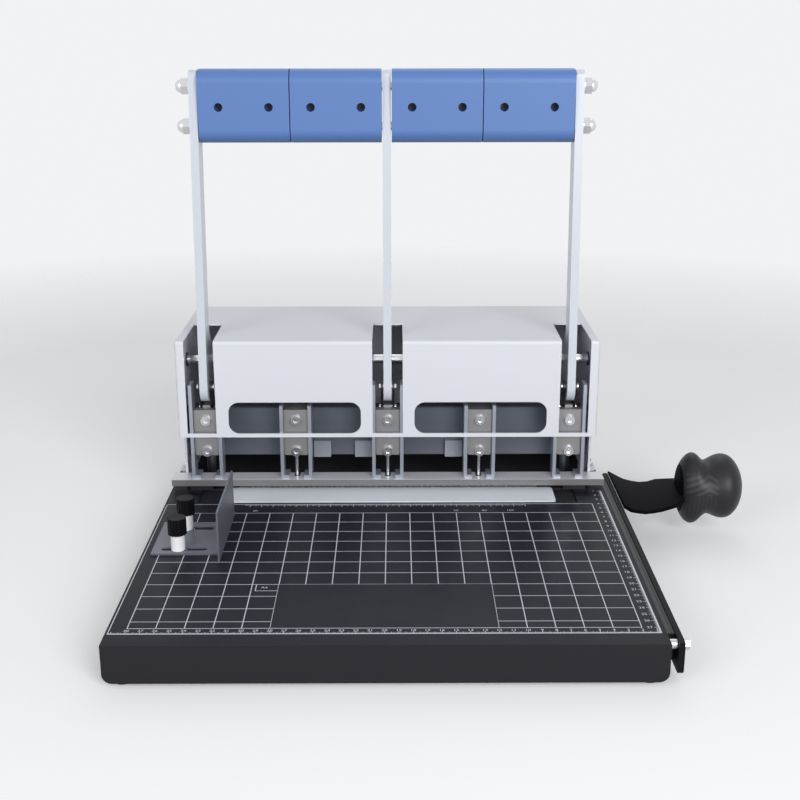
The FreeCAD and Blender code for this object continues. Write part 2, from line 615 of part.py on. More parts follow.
# Slide blocks: one in each pair of guide plates, bolted to the press bar
for number, head in HEADS:
    body = new_body(f"block_{number}")
    face = sketch(body, f"block_{number}_face", "XZ_Plane")
    rectangle(face, f"-{BLOCK_HALF}", "0", BLOCK_HALF, "block_height")
    solid = pad(body, face, BLOCK_DEPTH, backwards=True)
    fillet(body, solid, f"block_{number}_round", "block_corner",
           lambda edge: runs_along(edge, "y") and near(edge.CenterOfMass.z, 0))
    if number in ARM_HEADS:
        room_front = f"({TONGUE_Y} - link_radius - tongue_wall - running_gap - {BLOCK_FRONT})"
        room = sketch(body, f"block_{number}_room", "XZ_Plane", f"-{room_front}")
        rectangle(room, f"-{BLOCK_HALF} - overrun", f"{LINK_FLOOR} - {BLOCK_BOTTOM}",
                  f"{BLOCK_HALF} + overrun", "block_height + overrun")
        pocket(body, room, f"{BLOCK_DEPTH}")
        tongue = sketch(body, f"block_{number}_tongue", "YZ_Plane")
        rear = f"{TONGUE_Y} + {SLOT_HALF} + tongue_wall - {BLOCK_FRONT}"
        top = f"{TONGUE_Z} + link_pin_radius + running_gap + tongue_cap - {BLOCK_BOTTOM}"
        floor = f"{LINK_FLOOR} - {BLOCK_BOTTOM}"
        polygon(tongue, ((f"{room_front} - tongue_wall", floor), (rear, floor), (rear, top),
                         (room_front, top), (room_front, "block_height"),
                         (f"{room_front} - tongue_wall", "block_height")))
        pad(body, tongue, "2 * tongue_half", symmetric=True)
        slot = sketch(body, f"block_{number}_slot", "YZ_Plane")
        middle = f"{TONGUE_Y} - {BLOCK_FRONT}"
        rectangle(slot, f"{middle} - {SLOT_HALF}",
                  f"{TONGUE_Z} - {BLOCK_BOTTOM} - tongue_play - link_pin_radius",
                  f"{middle} + {SLOT_HALF}",
                  f"{TONGUE_Z} - {BLOCK_BOTTOM} + link_pin_radius + running_gap")
        pocket(body, slot, "2 * tongue_half + overrun", symmetric=True)
    front_bores = sketch(body, f"block_{number}_front_bores", "XZ_Plane")
    circle(front_bores, "0", "block_height - upper_screw_drop", "block_screw_radius")
    circle(front_bores, "0", "lower_screw_rise", "block_screw_radius")
    pocket(body, front_bores, f"punch_line - punch_radius - {BLOCK_FRONT}")
    rear_bore = sketch(body, f"block_{number}_rear_bore", "XZ_Plane", f"-{BLOCK_DEPTH}")
    circle(rear_bore, "0", "block_height / 2", "block_screw_radius")
    pocket(body, rear_bore, BOLT_GRIP, backwards=True)
    if number in PUNCH_HEADS:
        pin_bore = sketch(body, f"block_{number}_pin_bore", "XY_Plane")
        circle(pin_bore, "0", f"punch_line - {BLOCK_FRONT}", "punch_radius")
        pocket(body, pin_bore, "pin_in_block", backwards=True)
    place(body, x=head, y=BLOCK_FRONT, z=BLOCK_BOTTOM)
    node(f"slide_block_{number}", body)


def socket_screw(name, radius, length, head_radius, head_height):
    """A socket-head screw along Y: its head in front of y = 0, its shank behind."""
    body = new_body(name)
    shank = sketch(body, name + "_shank", "XZ_Plane")
    circle(shank, "0", "0", radius)
    pad(body, shank, length, backwards=True)
    head = sketch(body, name + "_head", "XZ_Plane")
    circle(head, "0", "0", head_radius)
    top = pad(body, head, head_height)
    hexagon = sketch(body, name + "_hexagon", "XZ_Plane", head_height)
    corners = [(f"hex_radius * cos({60 * corner} deg)", f"hex_radius * sin({60 * corner} deg)")
               for corner in range(6)]
    polygon(hexagon, corners)
    pocket(body, hexagon, "hex_depth")
    return body


def copies(name, item, spots):
    """The same solid at several places, as one group of separate solids."""
    links = []
    for number, (x, y, z) in enumerate(spots):
        twin = doc.addObject("Part::Compound", f"{name}_{number}")
        twin.Links = [item]
        links.append(place(twin, x, y, z))
    return group(name, *links)


SCREW_GRIP = f"(punch_line - punch_radius - {BLOCK_FRONT})"
front_screw = socket_screw("front_screw", "block_screw_radius", SCREW_GRIP,
                           "block_head_radius", "block_head_height")
spots = [(head, BLOCK_FRONT, height) for number, head in HEADS for height in (UPPER_SCREW, LOWER_SCREW)]
node("block_screws", copies("front_screws", front_screw, spots))
rear_bolt = socket_screw("rear_bolt", "block_screw_radius", f"press_depth + {BOLT_GRIP}",
                         "block_head_radius", "block_head_height")
rear_bolt_turned = doc.addObject("Part::Mirroring", "rear_bolt_turned")
rear_bolt_turned.Source = rear_bolt
rear_bolt_turned.Normal = Vector(0, 1, 0)
spots = [(head, "press_front + press_depth", BLOCK_MIDDLE) for number, head in HEADS]
node("press_bolts", copies("rear_bolts", rear_bolt_turned, spots))

# Punch pins: their tips rest inside the stripper bar
for number in PUNCH_HEADS:
    tip = f"({BAR_TOP} - pin_below_bar_top)"
    pin = rod(f"pin_{number}", "z", head_at[number], "punch_line", tip,
              "punch_radius", f"{BLOCK_BOTTOM} + pin_in_block - {tip}")
    node(f"punch_pin_{number}", pin)

# Small clamp blocks on the press bar, beside the inner heads
LOCK_X = "(guide_inner_half + guide_sheet + lock_gap)"
locks = []
for x in (f"-{INNER_HEAD} + {LOCK_X}", f"-{LOCK_X} - lock_width", f"{INNER_HEAD} - {LOCK_X} - lock_width"):
    locks.append(box(f"lock_{len(locks)}", x, "press_front - lock_depth", PRESS_BOTTOM,
                     "lock_width", "lock_depth", "lock_height"))
node("clamp_blocks", group("locks", *locks))

# Hollow guide posts in the deck, and the return springs inside them
posts = []
springs = []
POST_Y = "press_front + press_depth / 2"
SPRING_TOP = "(press_bottom + (post_rise - press_bottom + stroke + post_room))"
for number, x in enumerate(("-outer_head", "outer_head")):
    tube = rod(f"post_{number}", "z", x, POST_Y, f"{DECK} - post_below", "post_radius",
               "post_below + post_rise")
    bore = rod(f"post_bore_{number}", "z", x, POST_Y, DECK, "post_bore", "post_rise + overrun")
    posts.append(cut(f"post_tube_{number}", tube, bore))
    coil = rod(f"spring_{number}", "z", x, POST_Y, f"{DECK} + running_gap", "post_bore - running_gap",
               f"{SPRING_TOP} - 2 * running_gap")
    core = rod(f"spring_core_{number}", "z", x, POST_Y, DECK, "post_bore - running_gap - spring_wire",
               f"{SPRING_TOP} + overrun")
    springs.append(cut(f"spring_tube_{number}", coil, core))
node("guide_posts", group("posts", *posts))
node("return_springs", group("springs", *springs))

# Side frames: bent sheet on two foot tabs each
frame = new_body("frame_right")
profile = sketch(frame, "frame_profile", "YZ_Plane")
FRAME_REAR = f"({FRAME_FRONT} + frame_depth)"
rectangle(profile, FRAME_FRONT, DECK, FRAME_REAR, FRAME_TOP)
side = pad(frame, profile, "frame_sheet")
side = fillet(frame, side, "frame_round", "frame_corner",
              lambda edge: runs_along(edge, "x") and near(edge.CenterOfMass.z, value(FRAME_TOP)))
shaft_hole = sketch(frame, "frame_shaft_hole", "YZ_Plane")
circle(shaft_hole, "shaft_line", SHAFT_Z, "shaft_radius + shaft_clearance")
COVER_SCREW_Z = f"({COVER_BOTTOM} + cover_screw_rise)"
COVER_SCREW_YS = ("cover_front + cover_screw_inset", "cover_front + cover_depth - cover_screw_inset")
for y in COVER_SCREW_YS:
    circle(shaft_hole, y, COVER_SCREW_Z, "cover_screw_radius")
pocket(frame, shaft_hole, "frame_sheet + overrun", backwards=True)
FLANGE_FRONT = f"({BAR_REAR} + flange_start)"
for number, y in enumerate((FLANGE_FRONT, f"{FRAME_REAR} - tab_depth")):
    tab = sketch(frame, f"frame_tab_{number}", "XY_Plane", DECK)
    rectangle(tab, "0", y, "frame_sheet + foot_flange", f"{y} + tab_depth")
    tabs = pad(frame, tab, "frame_sheet")
fillet(frame, tabs, "frame_tab_round", "tab_round",
       lambda edge: runs_along(edge, "z") and near(edge.CenterOfMass.x, value("frame_sheet + foot_flange")))
flange_holes = sketch(frame, "frame_flange_holes", "XY_Plane", f"{DECK} + frame_sheet")
FLANGE_SCREW_X = "(frame_sheet + foot_flange / 2)"
FLANGE_ENDS = (f"{FLANGE_FRONT} + tab_depth / 2", f"{FRAME_REAR} - tab_depth / 2")
for y in FLANGE_ENDS:
    circle(flange_holes, FLANGE_SCREW_X, y, "flange_screw_radius")
pocket(frame, flange_holes, "frame_sheet + overrun")
place(frame, x="frame_half")
frame_twin = mirrored("frame_left", frame)
node("right_side_frame", frame)
node("left_side_frame", frame_twin)
flange_screw = join("flange_screw",
                    rod("flange_shank", "z", "0", "0", "-frame_sheet - post_below",
                        "flange_screw_radius", "frame_sheet + post_below"),
                    rod("flange_head", "z", "0", "0", "0", "flange_head_radius", "flange_head_height"))
spots = [(f"{side} * (frame_half + {FLANGE_SCREW_X})", y, f"{DECK} + frame_sheet")
         for side in (-1, 1) for y in FLANGE_ENDS]
node("frame_screws", copies("flange_screws", flange_screw, spots))
node("rear_panel", box("rear_sheet_metal", "-frame_half", f"{FRAME_REAR} - rear_sheet", DECK,
                       "2 * frame_half", "rear_sheet", f"{FRAME_TOP} - {DECK}"))

# Cover: folded sheet with three arm slots, two windows and a bridge under them
cover = new_body("cover_body")
outline = sketch(cover, "cover_outline", "XY_Plane")
rectangle(outline, "-cover_half", "0", "cover_half", "cover_depth")
hood = pad(cover, outline, f"{COVER_TOP} - {COVER_BOTTOM}")
COVER_HEIGHT = f"({COVER_TOP} - {COVER_BOTTOM})"
hood = fillet(cover, hood, "cover_round", "cover_bend",
              lambda edge: near(edge.CenterOfMass.z, value(COVER_HEIGHT)) or runs_along(edge, "z"))
inside = sketch(cover, "cover_inside", "XY_Plane")
rectangle(inside, "cover_sheet - cover_half", "cover_sheet", "cover_half - cover_sheet",
          "cover_depth - cover_sheet")
pocket(cover, inside, f"{COVER_HEIGHT} - cover_sheet", backwards=True)
slots = sketch(cover, "cover_slots", "XZ_Plane", "overrun")
SLOTS = (("-slot_outer_half", "-slot_inner_half"), ("-slot_middle_half", "slot_middle_half"),
         ("slot_inner_half", "slot_outer_half"))
for left, right in SLOTS:
    rectangle(slots, left, "strip_bridge", right, f"{COVER_HEIGHT} + overrun")
pocket(cover, slots, "slot_depth + overrun")
windows = sketch(cover, "cover_windows", "XZ_Plane", "overrun")
for left, right in (("-window_outer", "-window_inner"), ("window_inner", "window_outer")):
    rectangle(windows, left, "strip_bridge", right, "strip_bridge + window_height")
holes = pocket(cover, windows, "cover_sheet + 2 * overrun")
WINDOW_SPAN = [value(edge) for edge in ("strip_bridge - overrun", "strip_bridge + window_height + overrun")]
fillet(cover, holes, "cover_window_round", "window_round", lambda edge: runs_along(edge, "y")
       and near(edge.CenterOfMass.y, value("cover_sheet / 2"))
       and WINDOW_SPAN[0] < edge.CenterOfMass.z < WINDOW_SPAN[1]
       and min(abs(abs(edge.CenterOfMass.x) - value(side)) for side in ("window_inner", "window_outer"))
       < value("cover_sheet / 2"))
place(cover, y="cover_front", z=COVER_BOTTOM)
screw_seats = []
for side in (-1, 1):
    x = "-cover_half" if side < 0 else "frame_half + frame_sheet"
    for y in COVER_SCREW_YS:
        screw_seats.append(rod(f"cover_screw_seat_{len(screw_seats)}", "x", x, y, COVER_SCREW_Z,
                               "cover_screw_radius", "cover_half - frame_half - frame_sheet"))
node("cover", cut("cover_with_holes", cover, *screw_seats))
cover_screw = join("cover_screw",
                   rod("cover_screw_shank", "x", "frame_half - cover_half", "0", "0",
                       "cover_screw_radius", "cover_half - frame_half"),
                   rod("cover_screw_cap", "x", "0", "0", "0", "cover_screw_head", "cover_sheet"))
cover_screw_twin = mirrored("cover_screw_twin", cover_screw)
screw_groups = []
for side, item in ((1, cover_screw), (-1, cover_screw_twin)):
    spots = [(f"{side} * cover_half", y, COVER_SCREW_Z) for y in COVER_SCREW_YS]
    screw_groups.append(copies(f"cover_screws_{side + 1}", item, spots))
node("cover_screws", group("cover_screw_set", *screw_groups))

# Main shaft through both frames and the three arms, with a clip at each end
SHAFT_END = "(frame_half + frame_sheet)"
shaft = rod("shaft", "x", f"-{SHAFT_END}", "shaft_line", SHAFT_Z, "shaft_radius", f"2 * {SHAFT_END}")
node("main_shaft", shaft)
clips = []
for side in (-1, 1):
    x = f"{side} * (frame_half - clip_thickness / 2 - running_gap) - clip_thickness / 2"
    ring = rod(f"clip_disc_{len(clips)}", "x", x, "shaft_line", SHAFT_Z, "clip_radius", "clip_thickness")
    bore = rod(f"clip_bore_{len(clips)}", "x", f"{x} - overrun", "shaft_line", SHAFT_Z, "shaft_radius",
               "clip_thickness + 2 * overrun")
    clips.append(cut(f"clip_{len(clips)}", ring, bore))
node("shaft_clips", group("clips", *clips))


def lever_arm(name):
    """A flat arm: a long bar that widens to its boss and reaches forward to the link pin."""
    body = new_body(name)
    profile = sketch(body, name + "_profile", "YZ_Plane")
    top_front = "(-arm_top_back - arm_width / 2)"
    toe_front = "(-crank_reach - toe_radius)"
    share = "((arm_flare_rise + crank_drop) / (arm_rise + crank_drop))"
    flare_front = f"({toe_front} + ({top_front} - {toe_front}) * {share})"
    polygon(profile, ((toe_front, "-crank_drop"), ("-crank_reach", "-crank_drop - toe_radius"),
                      ("0", "-boss_radius"), ("boss_radius", "0"),
                      (f"{flare_front} + arm_width", "arm_flare_rise"),
                      (f"{top_front} + arm_width", "arm_rise"), (top_front, "arm_rise")))
    plate = pad(body, profile, "arm_thickness", symmetric=True)
    plate = fillet(body, plate, name + "_round", "arm_end_round",
                   lambda edge: runs_along(edge, "x") and near(edge.CenterOfMass.z, value("arm_rise")))
    for part_name, y, z, radius in (("toe", "-crank_reach", "-crank_drop", "toe_radius"),
                                    ("boss", "0", "0", "boss_radius")):
        disc = sketch(body, f"{name}_{part_name}", "YZ_Plane")
        circle(disc, y, z, radius)
        pad(body, disc, "arm_thickness", symmetric=True)
    bores = sketch(body, name + "_bores", "YZ_Plane")
    circle(bores, "0", "0", "shaft_radius + shaft_clearance")
    circle(bores, "-crank_reach", "-crank_drop", "link_pin_radius")
    for drop in ("upper_rod_drop", "lower_rod_drop"):
        circle(bores, "-arm_top_back", f"arm_rise - {drop}", "rod_radius")
    pocket(body, bores, "arm_thickness + overrun", symmetric=True)
    return place(body, y="shaft_line", z=SHAFT_Z)


for side, x in (("left", "-outer_head"), ("middle", "0"), ("right", "outer_head")):
    arm = lever_arm(side + "_arm_body")
    node(side + "_arm", place(arm, x, "shaft_line", SHAFT_Z))

# Grips: four moulded blocks threaded on the tie rods, two between each pair of arms
GRIP_LENGTH = "((outer_head - arm_thickness - 3 * grip_gap) / 2)"
GRIP_BOTTOM = f"({ARM_TOP} + grip_top_gap - grip_height)"
grip_spots = []
for number, start in enumerate(("grip_gap + arm_thickness / 2 - outer_head",
                                f"-arm_thickness / 2 - grip_gap - {GRIP_LENGTH}",
                                "arm_thickness / 2 + grip_gap",
                                f"outer_head - arm_thickness / 2 - grip_gap - {GRIP_LENGTH}"), start=1):
    grip = new_body(f"grip_{number}_body")
    profile = sketch(grip, f"grip_{number}_profile", "YZ_Plane")
    rectangle(profile, "-grip_depth / 2", "0", "grip_depth / 2", "grip_height")
    bar_stock = pad(grip, profile, GRIP_LENGTH)
    fillet(grip, bar_stock, f"grip_{number}_round", "grip_round", lambda edge: runs_along(edge, "x"))
    rods = sketch(grip, f"grip_{number}_rods", "YZ_Plane")
    for drop in ("upper_rod_drop", "lower_rod_drop"):
        circle(rods, "0", f"grip_height - grip_top_gap - {drop}", "rod_radius + shaft_clearance")
    pocket(grip, rods, f"{GRIP_LENGTH} + overrun", backwards=True)
    recess = sketch(grip, f"grip_{number}_recess", "XZ_Plane", "grip_depth / 2")
    for side in (-1, 1):
        circle(recess, f"{GRIP_LENGTH} / 2 + {side} * grip_hole_reach",
               "grip_height - grip_hole_drop", "grip_hole_radius")
    pocket(grip, recess, "grip_hole_depth")
    bore = sketch(grip, f"grip_{number}_bore", "XZ_Plane", "grip_depth / 2")
    for side in (-1, 1):
        circle(bore, f"{GRIP_LENGTH} / 2 + {side} * grip_hole_reach",
               "grip_height - grip_hole_drop", "grip_screw_radius")
        grip_spots.append((f"{start} + {GRIP_LENGTH} / 2 + {side} * grip_hole_reach",
                           f"{ARM_MIDDLE} - grip_depth / 2 + grip_hole_depth",
                           f"{GRIP_BOTTOM} + grip_height - grip_hole_drop"))
    pocket(grip, bore, "grip_hole_depth * 3 / 2")
    node(f"grip_{number}", place(grip, start, ARM_MIDDLE, GRIP_BOTTOM))
screw = socket_screw("grip_screw", "grip_screw_radius", "grip_hole_depth / 2",
                     "grip_hole_radius * 3 / 4", "hex_depth * 3 / 2")
node("grip_screws", copies("grip_screw_set", screw, grip_spots))

# Tie rods with a washer and an acorn nut at each end
ROD_END = "(outer_head + arm_thickness / 2 + washer_thickness + nut_hex_height)"
rods = []
washers = []
nuts = []


def hexagon_bar(name, across, length):
    """A hexagonal bar along X, from its width across the flats."""
    body = new_body(name)
    flats = sketch(body, name + "_flats", "YZ_Plane")
    polygon(flats, [(f"{across} / sqrt(3) * cos({60 * corner} deg)",
                     f"{across} / sqrt(3) * sin({60 * corner} deg)") for corner in range(6)])
    pad(body, flats, length)
    return body


nut_base = hexagon_bar("nut_hexagon", "nut_flats", "nut_hex_height")
dome = doc.addObject("Part::Sphere", "nut_dome")
bind(dome, "Radius", "nut_dome_radius")
place(dome, x="nut_hex_height")
solid_nut = join("solid_nut", nut_base, dome)
nut = cut("acorn_nut", solid_nut, rod("nut_bore", "x", "-overrun", "0", "0", "rod_radius",
                                      "nut_hex_height + overrun"))
nut_twin = mirrored("nut_twin", nut)
for drop in ("upper_rod_drop", "lower_rod_drop"):
    height = f"{ARM_TOP} - {drop}"
    rods.append(rod(f"tie_rod_{len(rods)}", "x", f"-{ROD_END}", ARM_MIDDLE, height, "rod_radius",
                    f"2 * {ROD_END}"))
    for side in (-1, 1):
        x = f"{side} * (outer_head + arm_thickness / 2 + washer_thickness / 2) - washer_thickness / 2"
        disc = rod(f"washer_disc_{len(washers)}", "x", x, ARM_MIDDLE, height, "washer_radius",
                   "washer_thickness")
        bore = rod(f"washer_bore_{len(washers)}", "x", f"{x} - overrun", ARM_MIDDLE, height, "rod_radius",
                   "washer_thickness + 2 * overrun")
        washers.append(cut(f"washer_{len(washers)}", disc, bore))
        twin = doc.addObject("Part::Compound", f"nut_{len(nuts)}")
        twin.Links = [nut if side > 0 else nut_twin]
        nuts.append(place(twin, f"{side} * (outer_head + arm_thickness / 2 + washer_thickness)",
                          ARM_MIDDLE, height))
node("tie_rods", group("rods", *rods))
node("rod_washers", group("washers", *washers))
node("acorn_nuts", group("nuts", *nuts))

# Links: a plate on each side of an arm's toe, and the pins that hold them
PIN_HALF = "(arm_thickness / 2 + 2 * running_gap + link_sheet + pin_reach)"
toe_pins = []
link_plates = []
low_pins = []
LOW_Y = TONGUE_Y
link_body = new_body("link_body")
profile = sketch(link_body, "link_profile", "YZ_Plane")
RISE = "sqrt(link_length ^ 2 - link_lean ^ 2)"
ACROSS_Y = f"(link_radius * {RISE} / link_length)"
ACROSS_Z = "(link_radius * link_lean / link_length)"
polygon(profile, ((f"-{ACROSS_Y}", f"-{ACROSS_Z}"), (f"link_lean - {ACROSS_Y}", f"-{RISE} - {ACROSS_Z}"),
                  (f"link_lean + {ACROSS_Y}", f"-{RISE} + {ACROSS_Z}"), (ACROSS_Y, ACROSS_Z)))
pad(link_body, profile, "link_sheet")
for end, y, z in (("upper", "0", "0"), ("lower", "link_lean", f"-{RISE}")):
    disc = sketch(link_body, f"link_{end}_end", "YZ_Plane")
    circle(disc, y, z, "link_radius")
    pad(link_body, disc, "link_sheet")
bores = sketch(link_body, "link_bores", "YZ_Plane")
circle(bores, "0", "0", "link_pin_radius + shaft_clearance")
circle(bores, "link_lean", f"-{RISE}", "link_pin_radius")
pocket(link_body, bores, "link_sheet + overrun", backwards=True)
spots = []
for number in ARM_HEADS:
    head = head_at[number]
    pin_y = "shaft_line - crank_reach"
    pin_z = f"{SHAFT_Z} - crank_drop"
    toe_pins.append(rod(f"toe_pin_{number}", "x", f"{head} - {PIN_HALF}", pin_y, pin_z,
                        "link_pin_radius", f"2 * {PIN_HALF}"))
    low_pins.append(rod(f"low_pin_{number}", "x", f"{head} - {PIN_HALF}", TONGUE_Y, TONGUE_Z,
                        "link_pin_radius", f"2 * {PIN_HALF}"))
    for side in (-1, 1):
        middle = f"{head} + {side} * (arm_thickness + 4 * running_gap + link_sheet) / 2"
        spots.append((f"{middle} - link_sheet / 2", pin_y, pin_z))
node("toe_pins", group("toe_pin_set", *toe_pins))
node("link_plates", copies("links", link_body, spots))
node("link_pins", group("low_pin_set", *low_pins))

# Trimmer: fixed edge on the base's side, and a blade on an arm that turns on a bolt
fixed_edge = box("fixed_edge_bar", HALF_WIDTH, f"-{HALF_DEPTH} + 2 * pivot_inset", f"{DECK} - edge_height",
                 "edge_thickness", f"blade_arm_rear + {HALF_DEPTH} - 2 * pivot_inset", "edge_height")
node("fixed_cutting_edge", fixed_edge)
blade = box("blade_bar", BLADE_X, f"-{HALF_DEPTH} + 2 * pivot_inset", f"{DECK} - blade_height",
            "blade_thickness", f"blade_arm_rear + {HALF_DEPTH} - 2 * pivot_inset", "blade_height")
node("cutting_blade", blade)
blade_arm = new_body("blade_arm_body")
profile = sketch(blade_arm, "blade_arm_profile", "YZ_Plane")
polygon(profile, ((f"-{HALF_DEPTH}", f"{DECK} - blade_arm_height + blade_thickness"),
                  (f"-{HALF_DEPTH} + blade_thickness", f"{DECK} - blade_arm_height"),
                  ("blade_arm_rear", f"{DECK} - blade_arm_height"),
                  ("blade_arm_rear", f"{DECK} + blade_thickness / 2"),
                  (f"-{HALF_DEPTH}", DECK + " + blade_thickness / 2")))
pad(blade_arm, profile, "blade_arm_thickness")
pivot_bore = sketch(blade_arm, "blade_arm_bore", "YZ_Plane")
circle(pivot_bore, PIVOT_Y, PIVOT_Z, "pivot_radius + shaft_clearance")
pocket(blade_arm, pivot_bore, "blade_arm_thickness + overrun", backwards=True)
node("blade_arm", place(blade_arm, x=BLADE_ARM_X))
STACK = "(edge_thickness + blade_gap + blade_thickness)"
bolt = rod("pivot_bolt", "x", f"{HALF_WIDTH} - base_wall + overrun", PIVOT_Y, PIVOT_Z, "pivot_radius",
           f"base_wall - overrun + {STACK} + blade_arm_thickness + pivot_nut_height + 2 * running_gap")
node("trimmer_pivot_bolt", bolt)
spacer_disc = rod("pivot_spacer_disc", "x", HALF_WIDTH, PIVOT_Y, PIVOT_Z, "pivot_nut_flats / 2",
                  f"{STACK} - running_gap")
spacer_bore = rod("pivot_spacer_bore", "x", f"{HALF_WIDTH} - overrun", PIVOT_Y, PIVOT_Z, "pivot_radius",
                  f"{STACK} + 2 * overrun")
node("trimmer_pivot_spacer", cut("pivot_spacer", spacer_disc, spacer_bore))
lock_nut_bore = rod("lock_nut_bore", "x", "-overrun", "0", "0", "pivot_radius",
                    "pivot_nut_height + 2 * overrun")
lock_nut = cut("lock_nut", hexagon_bar("lock_nut_hexagon", "pivot_nut_flats", "pivot_nut_height"),
               lock_nut_bore)
place(lock_nut, f"{BLADE_ARM_X} + blade_arm_thickness + running_gap", PIVOT_Y, PIVOT_Z)
node("trimmer_pivot_nut", lock_nut)

# Handle: a flat neck on the blade arm, and a waisted grip with a guard
HANDLE_X = f"({BLADE_ARM_X} + blade_arm_thickness)"
NECK = f"(handle_start - {HANDLE_X})"
NECK_FRONT_SHARES = ((0, 0.165), (0.11, 0.07), (0.32, 0.03), (0.67, 0.08), (0.87, 0.12), (1.12, 0.25))
NECK_REAR_SHARES = ((0, 1), (0.21, 0.8), (0.46, 0.71), (0.75, 0.75), (1.12, 0.7))
GRIP_SHARES = ((0, 0.42), (0.07, 0.8), (0.21, 0.99), (0.32, 0.83), (0.41, 0.67), (0.53, 0.78), (0.68, 0.88),
               (0.84, 0.74), (0.945, 0.44), (0.988, 0.19), (1, 0))
grip_stock = new_body("grip_stock")
profile = sketch(grip_stock, "grip_profile", "XZ_Plane")
outline = [(f"handle_length * {along}", f"guard_radius * {size}") for along, size in GRIP_SHARES]
curve(profile, outline)
straight(profile, outline[-1], ("0", "0"))
straight(profile, ("0", "0"), outline[0])
turned = grip_stock.newObject("PartDesign::Revolution", "grip_turned")
turned.Profile = profile
turned.ReferenceAxis = (profile, ["H_Axis"])
place(grip_stock, "handle_start", "handle_line", "handle_rise")
neck = new_body("neck_body")
plan = sketch(neck, "neck_plan", "XY_Plane")
edges = [[(f"{HANDLE_X} + {NECK} * {along}", f"blade_arm_rear * {across}") for along, across in shares]
         for shares in (NECK_FRONT_SHARES, NECK_REAR_SHARES)]
for edge in edges:
    curve(plan, edge)
straight(plan, edges[0][0], edges[1][0])
straight(plan, edges[0][-1], edges[1][-1])
pad(neck, plan, "handle_plate")
place(neck, z=f"{DECK} - handle_plate / 2")
node("trimmer_handle", join("handle_moulding", neck, grip_stock))

# Side guide: an angle with two slots, clamped by two knobs on studs
FENCE_X = "(fence_reach - stud_line)"
fence = box("fence", FENCE_X, "-bracket_front", DECK, "bracket_sheet", "bracket_fence_depth",
            "bracket_height")
foot = box("fence_foot", f"{FENCE_X} - bracket_width", "bracket_foot_offset - bracket_front", DECK,
           "bracket_width + bracket_sheet", "bracket_foot_depth", "bracket_sheet")
angle = join("guide_angle", fence, foot)
SLOT_LEFT = "(slot_half_width - slot_before - stud_line)"
SLOT_RIGHT = "(slot_behind - stud_line - slot_half_width)"
SLOT_FLOOR = f"({DECK} - overrun)"
SLOT_CUT = "(bracket_sheet + 2 * overrun)"
slot_cuts = []
studs = []
sleeves = []
for stud in STUDS:
    middle_bar = box(f"{stud}_slot", SLOT_LEFT, f"-{stud} - slot_half_width", SLOT_FLOOR,
                     f"{SLOT_RIGHT} - {SLOT_LEFT}", "2 * slot_half_width", SLOT_CUT)
    ends = [rod(f"{stud}_slot_end_{n}", "z", x, f"-{stud}", SLOT_FLOOR, "slot_half_width", SLOT_CUT)
            for n, x in enumerate((SLOT_LEFT, SLOT_RIGHT))]
    slot_cuts += [middle_bar] + ends
    studs.append(rod(f"{stud}_rod", "z", "-stud_line", f"-{stud}", f"{DECK} - post_below", "stud_radius",
                     "post_below + bracket_sheet + sleeve_height + clamp_height / 2"))
    disc = rod(f"{stud}_sleeve_disc", "z", "-stud_line", f"-{stud}", f"{DECK} + bracket_sheet",
               "sleeve_radius", "sleeve_height")
    bore = rod(f"{stud}_sleeve_bore", "z", "-stud_line", f"-{stud}", DECK, "stud_radius",
               "sleeve_height + 2 * overrun")
    sleeves.append(cut(f"{stud}_sleeve", disc, bore))
node("side_guide", cut("guide_with_slots", angle, *slot_cuts))
node("clamp_studs", group("studs", *studs))
node("clamp_sleeves", group("sleeves", *sleeves))
for stud, label in (("front_stud", "front_clamp_knob"), ("rear_stud", "rear_clamp_knob")):
    knob = new_body(label + "_body")
    disc = sketch(knob, label + "_disc", "XY_Plane")
    circle(disc, "0", "0", "clamp_radius")
    pad(knob, disc, "clamp_height")
    stud_hole = sketch(knob, label + "_hole", "XY_Plane")
    circle(stud_hole, "0", "0", "stud_radius + shaft_clearance")
    pocket(knob, stud_hole, "clamp_height / 2 + overrun", backwards=True)
    flute = sketch(knob, label + "_flute", "XY_Plane")
    circle(flute, "clamp_radius", "0", "knurl_radius")
    first_flute = pocket(knob, flute, "clamp_height + overrun", backwards=True)
    flutes = knob.newObject("PartDesign::PolarPattern", label + "_flutes")
    flutes.Originals = [first_flute]
    flutes.Axis = (flute, ["N_Axis"])
    bind(flutes, "Occurrences", "knurl_count")
    knob.Tip = flutes
    node(label, place(knob, "-stud_line", f"-{stud}", f"{DECK} + bracket_sheet + sleeve_height"))

# Seats in the base for the posts, the studs, the flange screws and the pivot bolt
SEATS = [(x, POST_Y, "post_radius") for x in ("-outer_head", "outer_head")]
SEATS += [("-stud_line", f"-{stud}", "stud_radius") for stud in STUDS]
SEATS += [(f"{side} * (frame_half + {FLANGE_SCREW_X})", y, "flange_screw_radius")
          for side in (-1, 1) for y in FLANGE_ENDS]
seats = [rod(f"seat_{count}", "z", x, y, f"{DECK} - post_below", radius, "post_below + overrun")
         for count, (x, y, radius) in enumerate(SEATS)]
seats.append(rod("pivot_seat", "x", f"{HALF_WIDTH} - base_wall + overrun", PIVOT_Y, PIVOT_Z,
                 "pivot_radius", "base_wall"))
node("base_shell", cut("base_with_seats", base, *seats))

doc.recompute()
os.makedirs("parts", exist_ok=True)
faults = [item.Name for item in doc.Objects if "Invalid" in item.State or "Error" in item.State]
if faults:
    raise RuntimeError("failed objects: " + ", ".join(faults))
for name, item in nodes.items():
    shape = item.Shape
    if shape.isNull() or not shape.isValid():
        raise RuntimeError(f"{name} has no valid shape")
    shape.exportStep(f"parts/{name}.step")
    print(name, len(shape.Solids), round(shape.Volume, 1))
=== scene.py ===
import math

import bpy
from mathutils import Matrix, Vector


